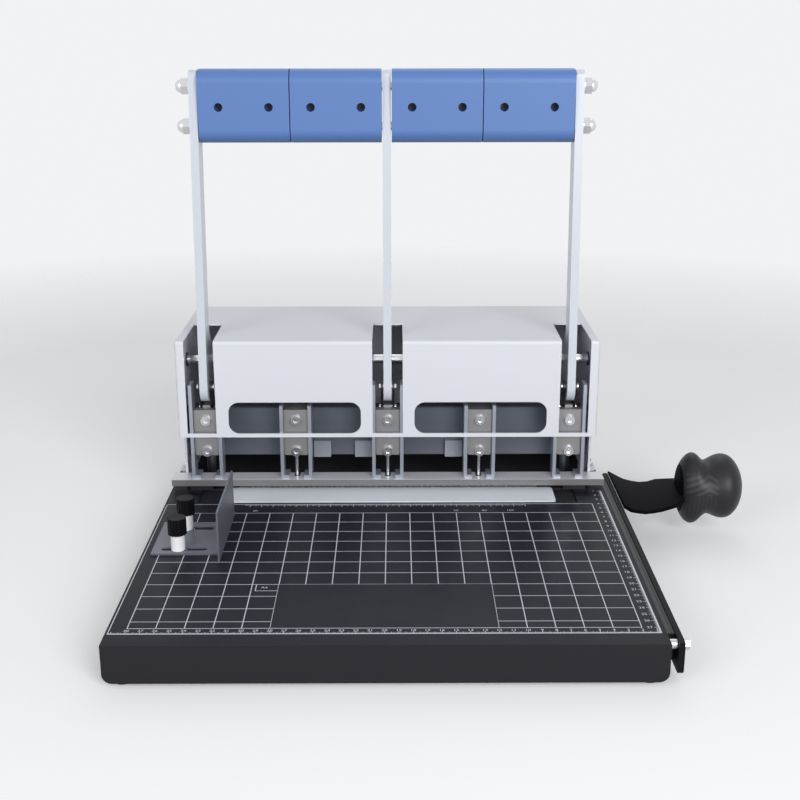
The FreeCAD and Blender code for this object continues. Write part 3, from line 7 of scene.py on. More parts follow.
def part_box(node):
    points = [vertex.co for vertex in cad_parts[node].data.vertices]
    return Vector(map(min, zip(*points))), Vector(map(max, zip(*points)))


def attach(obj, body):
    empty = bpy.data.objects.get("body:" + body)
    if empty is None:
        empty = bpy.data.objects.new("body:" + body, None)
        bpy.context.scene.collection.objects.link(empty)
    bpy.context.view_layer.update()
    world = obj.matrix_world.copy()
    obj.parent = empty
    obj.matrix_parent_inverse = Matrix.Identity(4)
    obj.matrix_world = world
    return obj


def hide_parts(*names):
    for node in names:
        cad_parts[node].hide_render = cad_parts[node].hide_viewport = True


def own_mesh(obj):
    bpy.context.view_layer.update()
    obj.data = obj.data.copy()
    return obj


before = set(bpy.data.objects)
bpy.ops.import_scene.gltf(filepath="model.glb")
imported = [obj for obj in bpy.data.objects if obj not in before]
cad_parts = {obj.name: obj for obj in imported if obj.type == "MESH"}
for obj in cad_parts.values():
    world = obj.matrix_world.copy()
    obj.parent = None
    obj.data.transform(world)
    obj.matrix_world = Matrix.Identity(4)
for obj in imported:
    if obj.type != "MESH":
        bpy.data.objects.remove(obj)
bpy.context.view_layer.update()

# Studio: a soft even surround and three large lamps, as in a small product studio.
# The camera stands a metre in front of the machine and looks a little down on its bed.
CAMERA_PLACE = (0.00707, -0.98139, 0.44251)
CAMERA_RIGHT = Vector((0.999991, -0.004005, -0.001011))
CAMERA_UP = Vector((0.002153, 0.296551, 0.955015))
CAMERA_BACK = Vector((-0.003525, -0.955009, 0.296557))
CAMERA_LENS = 55.85
CAMERA_SENSOR = 36
STUDIO_WHITE = (0.88, 0.89, 0.90)
SURROUND_SEEN = 1.0
SURROUND_LIGHT = 0.34
LAMP_SIZE = 1.2
MACHINE_MIDDLE = (0, 0, 0.15)
HOUSING_MIDDLE = (0, 0.1, 0.2)
KEY_PLACE = (0.8, -1.9, 0.95)
KEY_WATTS = 30.5
FILL_PLACE = (-1.2, -1.6, 0.9)
FILL_WATTS = 12
REAR_PLACE = (0.2, 1.5, 1.6)
REAR_WATTS = 4
bpy.ops.object.select_all(action="DESELECT")
bpy.ops.object.camera_add()
camera = bpy.context.object
camera.data.lens = CAMERA_LENS
camera.data.sensor_width = CAMERA_SENSOR
camera.matrix_world = (Matrix.Translation(CAMERA_PLACE)
                       @ Matrix((CAMERA_RIGHT, CAMERA_UP, CAMERA_BACK)).transposed().to_4x4())
bpy.context.scene.camera = camera
bpy.context.scene.view_settings.view_transform = "Standard"

world = bpy.context.scene.world or bpy.data.worlds.new("studio")
bpy.context.scene.world = world
world.use_nodes = True
surround = world.node_tree.nodes["Background"]
surround.inputs["Color"].default_value = (*STUDIO_WHITE, 1)
light_path = world.node_tree.nodes.new("ShaderNodeLightPath")
level = world.node_tree.nodes.new("ShaderNodeMapRange")
level.inputs["From Min"].default_value = 1.0
level.inputs["From Max"].default_value = 0.0
level.inputs["To Min"].default_value = SURROUND_LIGHT
level.inputs["To Max"].default_value = SURROUND_SEEN
world.node_tree.links.new(light_path.outputs["Is Diffuse Ray"], level.inputs["Value"])
world.node_tree.links.new(level.outputs[0], surround.inputs["Strength"])


def lamp(name, place, target, power):
    """A large soft lamp that faces a point."""
    bpy.ops.object.light_add(type="AREA", location=place)
    light = bpy.context.object
    light.name = name
    light.data.shape = "DISK"
    light.data.size = LAMP_SIZE
    light.data.energy = power
    light.rotation_euler = (Vector(target) - Vector(place)).to_track_quat("-Z", "Y").to_euler()


lamp("key_lamp", KEY_PLACE, MACHINE_MIDDLE, KEY_WATTS)
lamp("fill_lamp", FILL_PLACE, MACHINE_MIDDLE, FILL_WATTS)
lamp("rear_lamp", REAR_PLACE, HOUSING_MIDDLE, REAR_WATTS)

# Floor: matt pale board. It thins out far from the machine, so that it runs into
# the plain surround with no edge.
FLOOR_RADIUS = 1.6
FLOOR_SIDES = 96
FLOOR_FADE_START = 0.8
FLOOR_FADE_LENGTH = 0.7
FLOOR_BOUNCE = (0.30, 0.30, 0.31)
FLOOR_LIFT = (0.20, 0.20, 0.205)
NO_LIGHT = (0, 0, 0)
COAT_ROUGHNESS = 0.25
bpy.ops.mesh.primitive_circle_add(vertices=FLOOR_SIDES, radius=FLOOR_RADIUS, fill_type="NGON",
                                  location=(0, 0, 0))
floor = bpy.context.object
floor.name = "floor"


class Signal:
    """One output of a shader node, which takes part in Python sums."""

    def __init__(self, tree, socket):
        self.tree = tree
        self.socket = socket

    def node(self, kind, settings=None, sockets=None, output=0):
        """Adds a node: its settings first, then the values or links of its sockets."""
        made = self.tree.nodes.new(kind)
        for name, setting in (settings or {}).items():
            setattr(made, name, setting)
        for name, given in (sockets or {}).items():
            self.plug(made.inputs[name], given)
        return Signal(self.tree, made.outputs[output])

    def plug(self, socket, given):
        """Links a signal to a socket, or sets the socket to a value."""
        if isinstance(given, Signal):
            self.tree.links.new(given.socket, socket)
        else:
            socket.default_value = given

    def sum(self, operation, *terms):
        return self.node("ShaderNodeMath", {"operation": operation}, dict(enumerate(terms)))

    def __add__(self, other):
        return self.sum("ADD", self, other)

    def __sub__(self, other):
        return self.sum("SUBTRACT", self, other)

    def __rsub__(self, other):
        return self.sum("SUBTRACT", other, self)

    def __mul__(self, other):
        return self.sum("MULTIPLY", self, other)

    def __truediv__(self, other):
        return self.sum("DIVIDE", self, other)

    def __lt__(self, other):
        return self.sum("LESS_THAN", self, other)

    def __gt__(self, other):
        return self.sum("GREATER_THAN", self, other)

    def __abs__(self):
        return self.sum("ABSOLUTE", self)

    def __mod__(self, other):
        return self.sum("FLOORED_MODULO", self, other)

    def __or__(self, other):
        return self.sum("MAXIMUM", self, other)

    __radd__ = __add__
    __rmul__ = __mul__

    def axis(self, number):
        """One coordinate of a place: 0 for X, 1 for Y, 2 for Z."""
        return self.node("ShaderNodeSeparateXYZ", None, {0: self}, output=number)

    def stretch(self, scale):
        """A place with each coordinate made finer or coarser."""
        return self.node("ShaderNodeMapping", None, {"Vector": self, "Scale": scale})

    def noise(self, scale, detail):
        return self.node("ShaderNodeTexNoise", None, {"Vector": self, "Scale": scale, "Detail": detail})

    def tint(self, first, second):
        """A colour between two others, where the signal runs from 0 to 1."""
        colours = {0: self, 6: (*first, 1), 7: (*second, 1)}
        return self.node("ShaderNodeMix", {"data_type": "RGBA"}, colours, output=2)


def finish(name, colour, roughness, metallic=0.0, coat=0.0, gloss=0.5):
    """A new material with even values, its shader, and the coordinates of the piece."""
    material = bpy.data.materials.new(name)
    material.use_nodes = True
    tree = material.node_tree
    shader = tree.nodes["Principled BSDF"]
    shader.inputs["Base Color"].default_value = (*colour, 1)
    shader.inputs["Roughness"].default_value = roughness
    shader.inputs["Metallic"].default_value = metallic
    shader.inputs["Coat Weight"].default_value = coat
    shader.inputs["Coat Roughness"].default_value = COAT_ROUGHNESS
    shader.inputs["Specular IOR Level"].default_value = gloss
    coordinates = tree.nodes.new("ShaderNodeTexCoord")
    return material, shader, Signal(tree, coordinates.outputs["Object"])


floor_paint, shader, place = finish("pale_floor", STUDIO_WHITE, roughness=0.9)
distance = place.node("ShaderNodeVectorMath", {"operation": "LENGTH"}, {0: place}, output=1)
place.plug(shader.inputs["Alpha"], 1 - (distance - FLOOR_FADE_START) / FLOOR_FADE_LENGTH)
diffuse_ray = place.node("ShaderNodeLightPath", output=2)
place.plug(shader.inputs["Base Color"], diffuse_ray.tint(STUDIO_WHITE, FLOOR_BOUNCE))
shader.inputs["Emission Strength"].default_value = 1
place.plug(shader.inputs["Emission Color"], diffuse_ray.tint(FLOOR_LIFT, NO_LIGHT))
floor.data.materials.append(floor_paint)

# Base: a heavy cast tray in dark satin powder coat, open below. The coat is a
# little grainy.
BASE_BLACK = (0.026, 0.0252, 0.031)
BASE_ROUGHNESS = 0.42
BASE_ROUGHNESS_SPREAD = 0.12
BASE_GRAIN = 900
BASE_RELIEF = 0.00012


def bump(shader, height, distance, strength):
    """Relief of a height signal, where 1 stands for a distance in metres."""
    given = {"Height": height, "Distance": distance, "Strength": strength}
    height.plug(shader.inputs["Normal"], height.node("ShaderNodeBump", None, given))


def wear(material, *names):
    """Gives CAD nodes a material."""
    for name in names:
        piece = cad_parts[name]
        piece.data.materials.clear()
        piece.data.materials.append(material)


base_coat, shader, place = finish("base_coat", BASE_BLACK, roughness=0.48, gloss=0.07)
grain = place.noise(BASE_GRAIN, 3)
place.plug(shader.inputs["Roughness"], grain * BASE_ROUGHNESS_SPREAD + BASE_ROUGHNESS)
bump(shader, grain, BASE_RELIEF, strength=0.5)
wear(base_coat, "base_shell")

# Feet: four moulded rubber pads under the base's corners, so that the machine
# stands firm on a table.
RUBBER_BLACK = (0.012, 0.012, 0.013)


def speckled(name, colour, roughness, speckle, relief, strength=0.4, coat=0.0, gloss=0.5):
    """An even finish with a fine speckle in relief, such as paint, rubber or moulded plastic."""
    material, shader, place = finish(name, colour, roughness, coat=coat, gloss=gloss)
    bump(shader, place.noise(speckle, 2), relief, strength)
    return material


wear(speckled("foot_rubber", RUBBER_BLACK, roughness=0.8, speckle=1500, relief=0.0001), "rubber_feet")

# Bed: a black plastic sheet screen-printed in white with a grid of 20 mm squares
# and millimetre scales along its edges. It lies in the deck's seat.
GRID_PITCH = 0.020
GRID_LEFT = -0.181
GRID_RIGHT = GRID_LEFT + 18 * GRID_PITCH
GRID_REAR = 0.010
GRID_FRONT = -0.200
BLANK_LEFT = GRID_LEFT + 5 * GRID_PITCH
BLANK_RIGHT = GRID_RIGHT - 5 * GRID_PITCH
BLANK_REAR = GRID_REAR - 7 * GRID_PITCH
NOTE_LEFT = -0.098
NOTE_FRONT = -0.141
NOTE_INSET = 0.0002
FRAME_LEFT = -0.193
FRAME_RIGHT = 0.191
FRAME_FRONT = -0.208
FRAME_REAR_LEFT = 0.029
FRAME_REAR_RIGHT = 0.068
LINE_HALF = 0.00035
THICK_HALF = 0.0006
FRONT_SCALE_ZERO = 0.009
RULER_Y = 0.0300
RULER_LEFT = -0.1245
RULER_RIGHT = 0.1205
RULER_LENGTHENING = 1.8
# Pitch, length, half width
TICKS = ((0.001, 0.0017, 0.00016), (0.005, 0.0024, 0.0002), (0.010, 0.0033, 0.00024))
PRINT_WHITE = (0.70, 0.72, 0.78)
BED_BLACK = (0.010, 0.010, 0.018)
BED_ROUGHNESS = 0.30
BED_WEAR = 0.12
bed_print, shader, place = finish("bed_print", BED_BLACK, roughness=0.35, gloss=0.1)
x = place.axis(0)
y = place.axis(1)


def lines(coordinate, pitch, half):
    """Lines at a pitch along one coordinate."""
    return abs((coordinate + pitch / 2) % pitch - pitch / 2) < half


def scale_ticks(along, out, line, reach):
    """Ticks each millimetre, and longer ones each five and each ten, from a line out to one side."""
    marks = None
    for pitch, length, half in TICKS:
        share = (out - line) / (length * reach)
        ticks = lines(along, pitch, half) * (share > 0) * (share < 1)
        marks = marks | ticks if marks else ticks
    return marks


inside_x = (x > GRID_LEFT - LINE_HALF) * (x < GRID_RIGHT + LINE_HALF)
inside_y = (y > GRID_FRONT - LINE_HALF) * (y < GRID_REAR + LINE_HALF)
blank = (x > BLANK_LEFT) * (x < BLANK_RIGHT) * (y > GRID_FRONT + LINE_HALF) * (y < BLANK_REAR)
squares = lines(x - GRID_LEFT, GRID_PITCH, LINE_HALF) | lines(y - GRID_REAR, GRID_PITCH, LINE_HALF)
grid = (squares | (abs(y - GRID_FRONT) < LINE_HALF)) * inside_x * inside_y * (1 - blank)
note_front = (abs(y - (NOTE_FRONT + NOTE_INSET)) < LINE_HALF) * (x > NOTE_LEFT) * (x < BLANK_LEFT)
note_left = (abs(x - (NOTE_LEFT + NOTE_INSET)) < LINE_HALF) * (y > NOTE_FRONT) * (y < BLANK_REAR)
left_line = (abs(x - FRAME_LEFT) < LINE_HALF) * (y > FRAME_FRONT) * (y < FRAME_REAR_LEFT)
right_line = (abs(x - FRAME_RIGHT) < THICK_HALF) * (y > FRAME_FRONT) * (y < FRAME_REAR_RIGHT)
front_span = (x > FRAME_LEFT - LINE_HALF) * (x < FRAME_RIGHT + THICK_HALF)
front_line = (abs(y - FRAME_FRONT) < THICK_HALF) * front_span
in_frame = (x > FRAME_LEFT) * (x < FRAME_RIGHT) * (y > FRAME_FRONT) * (y < FRAME_REAR_RIGHT)
front_ticks = scale_ticks(x - FRONT_SCALE_ZERO, y, FRAME_FRONT, 1)
right_ticks = scale_ticks(y, x, FRAME_RIGHT, -1)
ruler_span = (x > RULER_LEFT) * (x < RULER_RIGHT)
ruler_ticks = scale_ticks(x, y, RULER_Y, -RULER_LENGTHENING) * ruler_span
ruler_line = (abs(y - RULER_Y) < LINE_HALF) * (x > FRAME_LEFT) * (x < GRID_RIGHT + LINE_HALF)
ruler_end = (abs(x - GRID_RIGHT) < LINE_HALF) * (y > GRID_REAR) * (y < RULER_Y)
edge_print = left_line | right_line | front_line | (front_ticks | right_ticks) * in_frame
print_mask = grid | note_front | note_left | edge_print | ruler_ticks | ruler_line | ruler_end
place.plug(shader.inputs["Base Color"], print_mask.tint(BED_BLACK, PRINT_WHITE))
place.plug(shader.inputs["Roughness"], place.noise(60, 4) * BED_WEAR + BED_ROUGHNESS)
wear(bed_print, "grid_panel")

# Scale numbers: the same white ink, one plain figure for each ten millimetres along
# the front and the right edge, and a few by the ruler and in the grid.
FIGURE_SIZE = 0.0043
FIGURE_RISE = 0.00003
FIGURE_PITCH = 0.010
FRONT_FIGURES = 38
FRONT_FIGURE_ZERO = 0.199
FRONT_FIGURE_Y = -0.2035
RIGHT_FIGURES = 27
RIGHT_FIGURE_ZERO = 0.070
RIGHT_FIGURE_X = 0.1846
RULER_FIGURE_Y = 0.0150
RULER_FIGURES = (("30", -0.1395), ("20", -0.1145), ("50", 0.0590), ("80", 0.0835), ("100", 0.1060))
NOTE_FIGURE_PLACE = (-0.0915, -0.1354)
INK_ROUGHNESS = 0.32
INK_WEAR = 0.15
figure_ink, shader, place = finish("figure_ink", PRINT_WHITE, roughness=0.4)
place.plug(shader.inputs["Roughness"], place.noise(300, 2) * INK_WEAR + INK_ROUGHNESS)
figures = [(str(n), FRONT_FIGURE_ZERO - FIGURE_PITCH * n, FRONT_FIGURE_Y)
           for n in range(1, FRONT_FIGURES + 1)]
figures += [(str(n), RIGHT_FIGURE_X, RIGHT_FIGURE_ZERO - FIGURE_PITCH * n)
            for n in range(1, RIGHT_FIGURES + 1)]
figures += [(figure, across, RULER_FIGURE_Y) for figure, across in RULER_FIGURES]
figures += [("A4", *NOTE_FIGURE_PLACE)]
sheet_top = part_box("grid_panel")[1][2]
made_figures = []
for figure, across, along in figures:
    bpy.ops.object.select_all(action="DESELECT")
    bpy.ops.object.text_add(location=(0, 0, 0))
    letter = bpy.context.object
    letter.data.body = figure
    letter.data.size = FIGURE_SIZE
    letter.data.resolution_u = 3
    letter.data.align_x = "CENTER"
    letter.data.align_y = "CENTER"
    bpy.ops.object.convert(target="MESH")
    letter = bpy.context.object
    letter.location = (across, along, sheet_top + FIGURE_RISE)
    bpy.ops.object.transform_apply(location=True, rotation=True, scale=True)
    made_figures.append(letter)
for letter in made_figures:
    letter.select_set(True)
bpy.context.view_layer.objects.active = made_figures[0]
bpy.ops.object.join()
scale_figures = bpy.context.object
scale_figures.name = "scale_figures"
scale_figures.data.materials.append(figure_ink)
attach(scale_figures, "base")

# Backing strip: a loose white plastic strip in its groove, which takes the wear of
# the punches and can be turned or changed.
STRIP_WHITE = (0.86, 0.90, 0.96)
wear(speckled("strip_plastic", STRIP_WHITE, roughness=0.35, speckle=700, relief=0.00005), "backing_strip")

# Die plate: ground steel, let into the deck and level with it. The pins pass
# through its row of holes.
DIE_GREY = (0.60, 0.62, 0.66)
GRAIN_FINENESS = 60
GRAIN_RELIEF = 0.00006
GRAIN_SPREAD = 0.2
ALONG_X = (4, 60, 60)


def brush(shader, place, roughness, grain):
    """A brushed grain in roughness and relief, drawn out along one axis by its scales."""
    brushed = place.stretch(grain).noise(GRAIN_FINENESS, 4)
    place.plug(shader.inputs["Roughness"], brushed * GRAIN_SPREAD + (roughness - GRAIN_SPREAD / 2))
    bump(shader, brushed, GRAIN_RELIEF, strength=0.5)


def steel(name, colour, roughness, grain, metallic=1.0):
    """Bright or plain steel with a brushed grain."""
    material, shader, place = finish(name, colour, roughness, metallic)
    brush(shader, place, roughness, grain)
    return material


wear(steel("die_steel", DIE_GREY, roughness=0.4, grain=ALONG_X, metallic=0.4), "die_plate")

# Stripper bar: a ground steel bar on two dark spacers, so that the paper's edge
# slides under it. Its top is painted lighter than its front as a painted highlight.
BAR_FRONT_GREY = (0.21, 0.21, 0.22)
BAR_TOP_PAINTED_HIGHLIGHT = (0.74, 0.75, 0.78)
PAINTED_HIGHLIGHT_DEPTH = 0.0002
SPACER_DARK = (0.025, 0.025, 0.03)
wear(steel("spacer_steel", SPACER_DARK, roughness=0.45, grain=ALONG_X, metallic=0.3), "bar_spacers")
bar_steel, shader, place = finish("bar_steel", BAR_FRONT_GREY, roughness=0.42, metallic=0.3)
# Painted highlight: the top face gets a lighter colour for the light it catches.
painted_highlight_top = place.axis(2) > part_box("stripper_bar")[1][2] - PAINTED_HIGHLIGHT_DEPTH
place.plug(shader.inputs["Base Color"], painted_highlight_top.tint(BAR_FRONT_GREY, BAR_TOP_PAINTED_HIGHLIGHT))
brush(shader, place, roughness=0.42, grain=ALONG_X)
wear(bar_steel, "stripper_bar")

# Heads: bent zinc-plated guide plates, each pair round a sliding block of brushed
# steel with two bright socket screws in its face.
ZINC_GREY = (0.42, 0.45, 0.52)
BLOCK_GREY = (0.32, 0.318, 0.325)
SCREW_BRIGHT = (0.85, 0.86, 0.88)
ALONG_Z = (30, 30, 4)
ACROSS_Z = (60, 60, 4)
EVEN = (30, 30, 30)
HEADS = range(1, 6)
wear(steel("zinc_plate", ZINC_GREY, roughness=0.36, grain=ALONG_Z, metallic=0.6),
     *[f"guide_plates_{n}" for n in HEADS])
wear(steel("block_steel", BLOCK_GREY, roughness=0.4, grain=ACROSS_Z, metallic=0.6),
     *[f"slide_block_{n}" for n in HEADS])
wear(steel("screw_steel", SCREW_BRIGHT, roughness=0.22, grain=EVEN), "block_screws", "press_bolts")

# Press bar: a dark steel bar behind the blocks, with three small clamp blocks and
# three bright punch pins. It runs on two hollow posts.
PRESS_GREY = (0.13, 0.145, 0.18)
CLAMP_GREY = (0.38, 0.40, 0.46)
PIN_BRIGHT = (0.75, 0.75, 0.77)
POST_GREY = (0.12, 0.13, 0.16)
wear(steel("pin_steel", PIN_BRIGHT, roughness=0.18, grain=ALONG_Z),
     "punch_pin_2", "punch_pin_3", "punch_pin_4")
wear(steel("post_steel", POST_GREY, roughness=0.4, grain=ALONG_Z), "guide_posts")
wear(steel("press_steel", PRESS_GREY, roughness=0.42, grain=ALONG_X, metallic=0.5), "press_bar")
wear(steel("clamp_steel", CLAMP_GREY, roughness=0.38, grain=EVEN, metallic=0.6), "clamp_blocks")

# Return springs: two wound steel springs inside the hollow guide posts, which the
# press bar comes down on. They are made here at one length.
SPRING_GREY = (0.35, 0.35, 0.37)
SPRING_WIRE = 0.0006
SPRING_WIRE_SIDES = 10
SPRING_TURNS = 12
SPRING_TURN_STEPS = 24
low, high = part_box("return_springs")
coil_radius = (high[1] - low[1]) / 2 - SPRING_WIRE
coil_y = (low[1] + high[1]) / 2
spring_steel = steel("spring_steel", SPRING_GREY, roughness=0.3, grain=EVEN)
for name, middle in (("left_spring", low[0] + coil_radius + SPRING_WIRE),
                     ("right_spring", high[0] - coil_radius - SPRING_WIRE)):
    bpy.ops.object.select_all(action="DESELECT")
    bpy.ops.mesh.primitive_circle_add(vertices=SPRING_WIRE_SIDES, radius=SPRING_WIRE,
                                      location=(coil_radius, 0, 0), rotation=(math.pi / 2, 0, 0))
    coil = bpy.context.object
    bpy.ops.object.transform_apply(location=True, rotation=True, scale=True)
    winding = coil.modifiers.new("winding", "SCREW")
    winding.axis = "Z"
    winding.iterations = SPRING_TURNS
    winding.screw_offset = (high[2] - low[2] - 2 * SPRING_WIRE) / SPRING_TURNS
    winding.steps = SPRING_TURN_STEPS
    winding.render_steps = SPRING_TURN_STEPS
    bpy.ops.object.modifier_apply(modifier="winding")
    coil.location = (middle, coil_y, low[2] + SPRING_WIRE)
    bpy.ops.object.transform_apply(location=True, rotation=True, scale=True)
    bpy.ops.object.mode_set(mode="EDIT")
    bpy.ops.mesh.select_all(action="SELECT")
    bpy.ops.mesh.fill_holes(sides=SPRING_WIRE_SIDES)
    bpy.ops.mesh.select_all(action="SELECT")
    bpy.ops.mesh.normals_make_consistent(inside=False)
    bpy.ops.object.mode_set(mode="OBJECT")
    bpy.ops.object.shade_smooth()
    coil.name = name
    coil.data.materials.append(spring_steel)
    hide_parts("return_springs")
    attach(coil, "base")
    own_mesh(coil)

# Lever: three flat steel arms in white gloss enamel, tied at the top by two rods
# with washers and acorn nuts.
ENAMEL_WHITE = (0.66, 0.70, 0.77)
NUT_BRIGHT = (0.75, 0.75, 0.77)
wear(speckled("white_enamel", ENAMEL_WHITE, roughness=0.32, speckle=450, relief=0.00006, coat=0.2),
     "left_arm", "middle_arm", "right_arm")
wear(steel("nut_steel", NUT_BRIGHT, roughness=0.2, grain=EVEN), "acorn_nuts", "rod_washers")

# Shaft and links: the arms turn on one polished shaft. Pins and dark link plates
# join the arms' toes to the blocks. The tie rods are of the shaft's steel.
SHAFT_BRIGHT = (0.82, 0.82, 0.84)
LINK_DARK = (0.08, 0.08, 0.09)
wear(steel("shaft_steel", SHAFT_BRIGHT, roughness=0.15, grain=ALONG_X),
     "main_shaft", "toe_pins", "link_pins", "tie_rods")
wear(steel("link_steel", LINK_DARK, roughness=0.4, grain=EVEN), "link_plates", "shaft_clips")

# Grips: four blue moulded plastic bodies between the arms, each held by screws at
# the bottom of its holes.
GRIP_BLUE = (0.108, 0.216, 0.520)
HOLE_PAINTED_SHADE = (0.05, 0.05, 0.055)
wear(speckled("grip_plastic", GRIP_BLUE, roughness=0.45, speckle=1300, relief=0.00008, strength=0.5),
     "grip_1", "grip_2", "grip_3", "grip_4")
# Painted shade: the screws deep in the grips' holes are painted near-black for the shade of the holes.
wear(steel("grip_screw_painted_shade", HOLE_PAINTED_SHADE, roughness=0.5, grain=EVEN), "grip_screws")

# Housing: folded sheet in white enamel, over two side frames that stand on the
# deck behind the stripper bar.
COVER_WHITE = (0.78, 0.80, 0.86)
CAP_GREY = (0.6, 0.6, 0.62)
wear(speckled("cover_enamel", COVER_WHITE, roughness=0.38, speckle=450, relief=0.00006, coat=0.1),
     "cover", "left_side_frame", "right_side_frame", "rear_panel")
wear(steel("cap_steel", CAP_GREY, roughness=0.3, grain=EVEN), "cover_screws", "frame_screws")

# Trimmer: a long blade on a dark coated arm that turns on a bolt at the front
# corner, against an edge fixed to the base.
BLADE_DARK = (0.022, 0.022, 0.028)
ARM_BLACK = (0.006, 0.006, 0.009)
PIVOT_GREY = (0.6, 0.6, 0.62)
ALONG_Y = (60, 4, 60)
wear(steel("blade_steel", BLADE_DARK, roughness=0.42, grain=ALONG_Y, metallic=0.4),
     "fixed_cutting_edge", "cutting_blade")
wear(speckled("arm_coat", ARM_BLACK, roughness=0.5, speckle=900, relief=0.0001, gloss=0.1), "blade_arm")
wear(steel("pivot_steel", PIVOT_GREY, roughness=0.3, grain=EVEN),
     "trimmer_pivot_bolt", "trimmer_pivot_nut", "trimmer_pivot_spacer")

# Trimmer handle: one black moulding. A flat curved neck on the arm's rear end
# carries a waisted grip with a guard, ridges and a glossy domed end.
NECK_START = 0.2043
NECK_THICKNESS = 0.0035
NECK_RISE = 0.0022
# Along, middle, half width, rise
NECK_STATIONS = (
    (0.000, 0.0601, 0.0427, 0), (0.005, 0.0500, 0.0425, 0), (0.0105, 0.0434, 0.0386, 0),
    (0.0165, 0.0400, 0.0370, 0), (0.0235, 0.0387, 0.0343, 0.0002), (0.031, 0.0400, 0.0335, 0.0006),
    (0.0385, 0.0433, 0.0337, 0.0014), (0.045, 0.0437, 0.0317, 0.0024), (0.052, 0.0460, 0.0270, 0.0036),
    (0.0575, 0.0480, 0.0240, 0.0044))
NECK_RIM = 0.0012
NECK_RIM_STEPS = 4
NECK_RIM_ANGLE = 50
NECK_SMOOTH_ANGLE = 35
GRIP_START = 0.256
GRIP_Y = 0.045
GRIP_Z = 0.042
GRIP_SIDES = 48
GRIP_ROUNDING = 2
# Along, half width, half height, rise
GRIP_STATIONS = (
    (0.0, 0.014, 0.014, 0), (0.0015, 0.018, 0.021, 0), (0.005, 0.0215, 0.0277, 0),
    (0.009, 0.0240, 0.0317, 0), (0.0125, 0.0252, 0.0325, 0), (0.016, 0.0258, 0.031, 0),
    (0.019, 0.0262, 0.0268, 0.0005), (0.0225, 0.0264, 0.0232, 0.001), (0.026, 0.0266, 0.0236, 0.0015),
    (0.030, 0.0270, 0.0260, 0.002), (0.0345, 0.0278, 0.0282, 0.002), (0.039, 0.0284, 0.0288, 0.002),
    (0.044, 0.0276, 0.0278, 0.002), (0.0485, 0.0240, 0.0240, 0.002), (0.052, 0.0188, 0.0188, 0.002),
    (0.0545, 0.0125, 0.0125, 0.002), (0.0562, 0.0060, 0.0060, 0.002))
COAT_START = 0.002
WAIST_START = 0.004
WAIST_END = 0.030
CHEVRON_MIDDLE = 0.023
CHEVRON_SLOPE = 0.5
CHEVRON_PITCH = 0.0052
CHEVRONS_LOW = 0.002
CHEVRONS_HIGH = 0.019
FLUTE_PITCH = 0.0034
FLUTES_LOW = -0.018
FLUTES_HIGH = 0.001
CHEVRON_HALF_SHARE = 0.27
FLUTE_HALF_SHARE = 0.3
FLUTE_HEIGHT_SHARE = 0.35
SPECKLE_HEIGHT_SHARE = 0.05
RIDGE_RELIEF = 0.0007
GRIP_PAINTED_LIGHT = 0.25
CHEVRON_PAINTED_HIGHLIGHT = 0.4
FLUTE_PAINTED_HIGHLIGHT = 0.12
HANDLE_BLACK = (0.006, 0.006, 0.009)
HANDLE_PAINTED_SHADE = (0.004, 0.004, 0.007)
HANDLE_PAINTED_HIGHLIGHT = (0.060, 0.060, 0.066)
HANDLE_COAT = 0.58
HANDLE_COAT_ROUGHNESS = 0.42
neck_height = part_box("base_shell")[1][2] + NECK_RISE


def lengthen(stations, start, height):
    """Extrudes the selected face along X, with a middle, half sizes and a rise at each station."""
    along, middle, wide, high, rise = stations[0]
    for next_along, next_middle, next_wide, next_high, next_rise in stations[1:]:
        step = (next_along - along, next_middle - middle, next_rise - rise)
        bpy.ops.mesh.extrude_region_move(TRANSFORM_OT_translate={"value": step})
        centre = (start + next_along, next_middle, height + next_rise)
        bpy.ops.transform.resize(value=(1, next_wide / wide, next_high / high), center_override=centre)
        along, middle, wide, high, rise = next_along, next_middle, next_wide, next_high, next_rise


bpy.ops.object.select_all(action="DESELECT")
bpy.ops.mesh.primitive_circle_add(vertices=GRIP_SIDES, radius=GRIP_STATIONS[0][1], fill_type="NGON",
                                  location=(GRIP_START, GRIP_Y, GRIP_Z), rotation=(0, math.pi / 2, 0))
grip_moulding = bpy.context.object
bpy.ops.object.transform_apply(location=True, rotation=True, scale=True)
bpy.ops.object.mode_set(mode="EDIT")
bpy.ops.mesh.select_all(action="SELECT")
lengthen([(along, GRIP_Y, *sizes) for along, *sizes in GRIP_STATIONS], GRIP_START, GRIP_Z)
bpy.ops.mesh.select_all(action="SELECT")
bpy.ops.mesh.normals_make_consistent(inside=False)
bpy.ops.object.mode_set(mode="OBJECT")
rounding = grip_moulding.modifiers.new("rounding", "SUBSURF")
rounding.levels = GRIP_ROUNDING
rounding.render_levels = GRIP_ROUNDING
bpy.ops.object.modifier_apply(modifier="rounding")
bpy.ops.object.shade_smooth()

bpy.ops.object.select_all(action="DESELECT")
bpy.ops.mesh.primitive_plane_add(size=1, location=(NECK_START, NECK_STATIONS[0][1], neck_height),
                                 rotation=(0, math.pi / 2, 0))
neck_moulding = bpy.context.object
neck_moulding.scale = (NECK_THICKNESS, NECK_STATIONS[0][2] * 2, 1)
bpy.ops.object.transform_apply(location=True, rotation=True, scale=True)
bpy.ops.object.mode_set(mode="EDIT")
bpy.ops.mesh.select_all(action="SELECT")
lengthen([(along, middle, half, NECK_THICKNESS / 2, rise) for along, middle, half, rise in NECK_STATIONS],
         NECK_START, neck_height)
bpy.ops.mesh.select_all(action="SELECT")
bpy.ops.mesh.normals_make_consistent(inside=False)
bpy.ops.object.mode_set(mode="OBJECT")
rim = neck_moulding.modifiers.new("rim", "BEVEL")
rim.width = NECK_RIM
rim.segments = NECK_RIM_STEPS
rim.limit_method = "ANGLE"
rim.angle_limit = math.radians(NECK_RIM_ANGLE)
bpy.ops.object.modifier_apply(modifier="rim")
bpy.ops.object.shade_smooth_by_angle(angle=math.radians(NECK_SMOOTH_ANGLE))

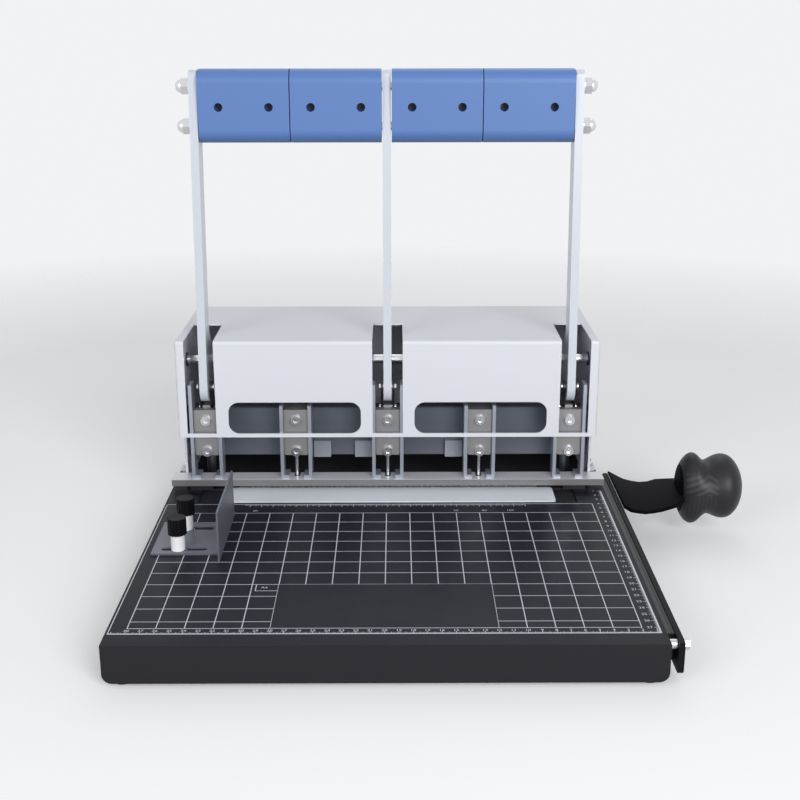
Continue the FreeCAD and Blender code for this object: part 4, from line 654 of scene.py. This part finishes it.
grip_moulding.select_set(True)
neck_moulding.select_set(True)
bpy.context.view_layer.objects.active = grip_moulding
bpy.ops.object.join()
handle_moulding = bpy.context.object
handle_moulding.name = "handle_moulding"
handle_plastic, shader, place = finish("handle_plastic", HANDLE_BLACK, roughness=0.5, gloss=0.02)
x = place.axis(0)
y = place.axis(1)
z = place.axis(2)
on_grip = x > GRIP_START + COAT_START
place.plug(shader.inputs["Coat Weight"], on_grip * HANDLE_COAT)
shader.inputs["Coat Roughness"].default_value = HANDLE_COAT_ROUGHNESS
on_waist = (x > GRIP_START + WAIST_START) * (x < GRIP_START + WAIST_END) * (y < GRIP_Y)
chevron = (z + abs(x - (GRIP_START + CHEVRON_MIDDLE)) * CHEVRON_SLOPE) / CHEVRON_PITCH
flute = x / FLUTE_PITCH
chevron_zone = (z > GRIP_Z + CHEVRONS_LOW) * (z < GRIP_Z + CHEVRONS_HIGH) * on_waist
flute_zone = (z > GRIP_Z + FLUTES_LOW) * (z < GRIP_Z + FLUTES_HIGH) * on_waist
chevrons = (abs(chevron % 1 - 0.5) < CHEVRON_HALF_SHARE) * chevron_zone
flutes = (abs(flute % 1 - 0.5) < FLUTE_HALF_SHARE) * flute_zone
# Painted light: the neck is painted darkest as painted shade, the grip lighter, and the chevron and flute
# ridges lighter still as painted highlights.
painted_light_tone = on_grip * GRIP_PAINTED_LIGHT + chevrons * CHEVRON_PAINTED_HIGHLIGHT + flutes * FLUTE_PAINTED_HIGHLIGHT
place.plug(shader.inputs["Base Color"], painted_light_tone.tint(HANDLE_PAINTED_SHADE, HANDLE_PAINTED_HIGHLIGHT))
height = chevrons + flutes * FLUTE_HEIGHT_SHARE + place.noise(700, 2) * SPECKLE_HEIGHT_SHARE
bump(shader, height, RIDGE_RELIEF, strength=0.8)
handle_moulding.data.materials.append(handle_plastic)
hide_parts("trimmer_handle")
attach(handle_moulding, "trimmer")

# Side guide: a thin steel angle with two slots, which slides to the left and
# right under its clamps.
GUIDE_GREY = (0.18, 0.19, 0.225)
wear(steel("guide_steel", GUIDE_GREY, roughness=0.42, grain=ALONG_Z, metallic=0.5), "side_guide")

# Clamps: two ribbed black knobs with dished tops on steel studs, with a white
# plastic sleeve under each knob.
STUD_GREY = (0.6, 0.6, 0.62)
SLEEVE_WHITE = (0.93, 0.94, 0.96)
KNOB_BLACK = (0.005, 0.005, 0.008)
KNOB_DISH_RADIUS = 0.0048
KNOB_REACH = 0.01
KNOB_RELIEF = 0.0005
KNOB_SPECKLE_SHARE = 0.15
KNOBS = ("front_clamp_knob", "rear_clamp_knob")
wear(steel("stud_steel", STUD_GREY, roughness=0.3, grain=EVEN), "clamp_studs")
wear(speckled("sleeve_plastic", SLEEVE_WHITE, roughness=0.5, speckle=900, relief=0.00005), "clamp_sleeves")
knob_plastic, shader, place = finish("knob_plastic", KNOB_BLACK, roughness=0.45, gloss=0.12)
x = place.axis(0)
y = place.axis(1)
dish = place.noise(1400, 2) * KNOB_SPECKLE_SHARE
for knob in KNOBS:
    low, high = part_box(knob)
    across = x - (low[0] + high[0]) / 2
    along = y - (low[1] + high[1]) / 2
    dish = dish + (across * across + along * along > KNOB_DISH_RADIUS ** 2) * (abs(along) < KNOB_REACH)
bump(shader, dish, KNOB_RELIEF, strength=0.8)
wear(knob_plastic, *KNOBS)
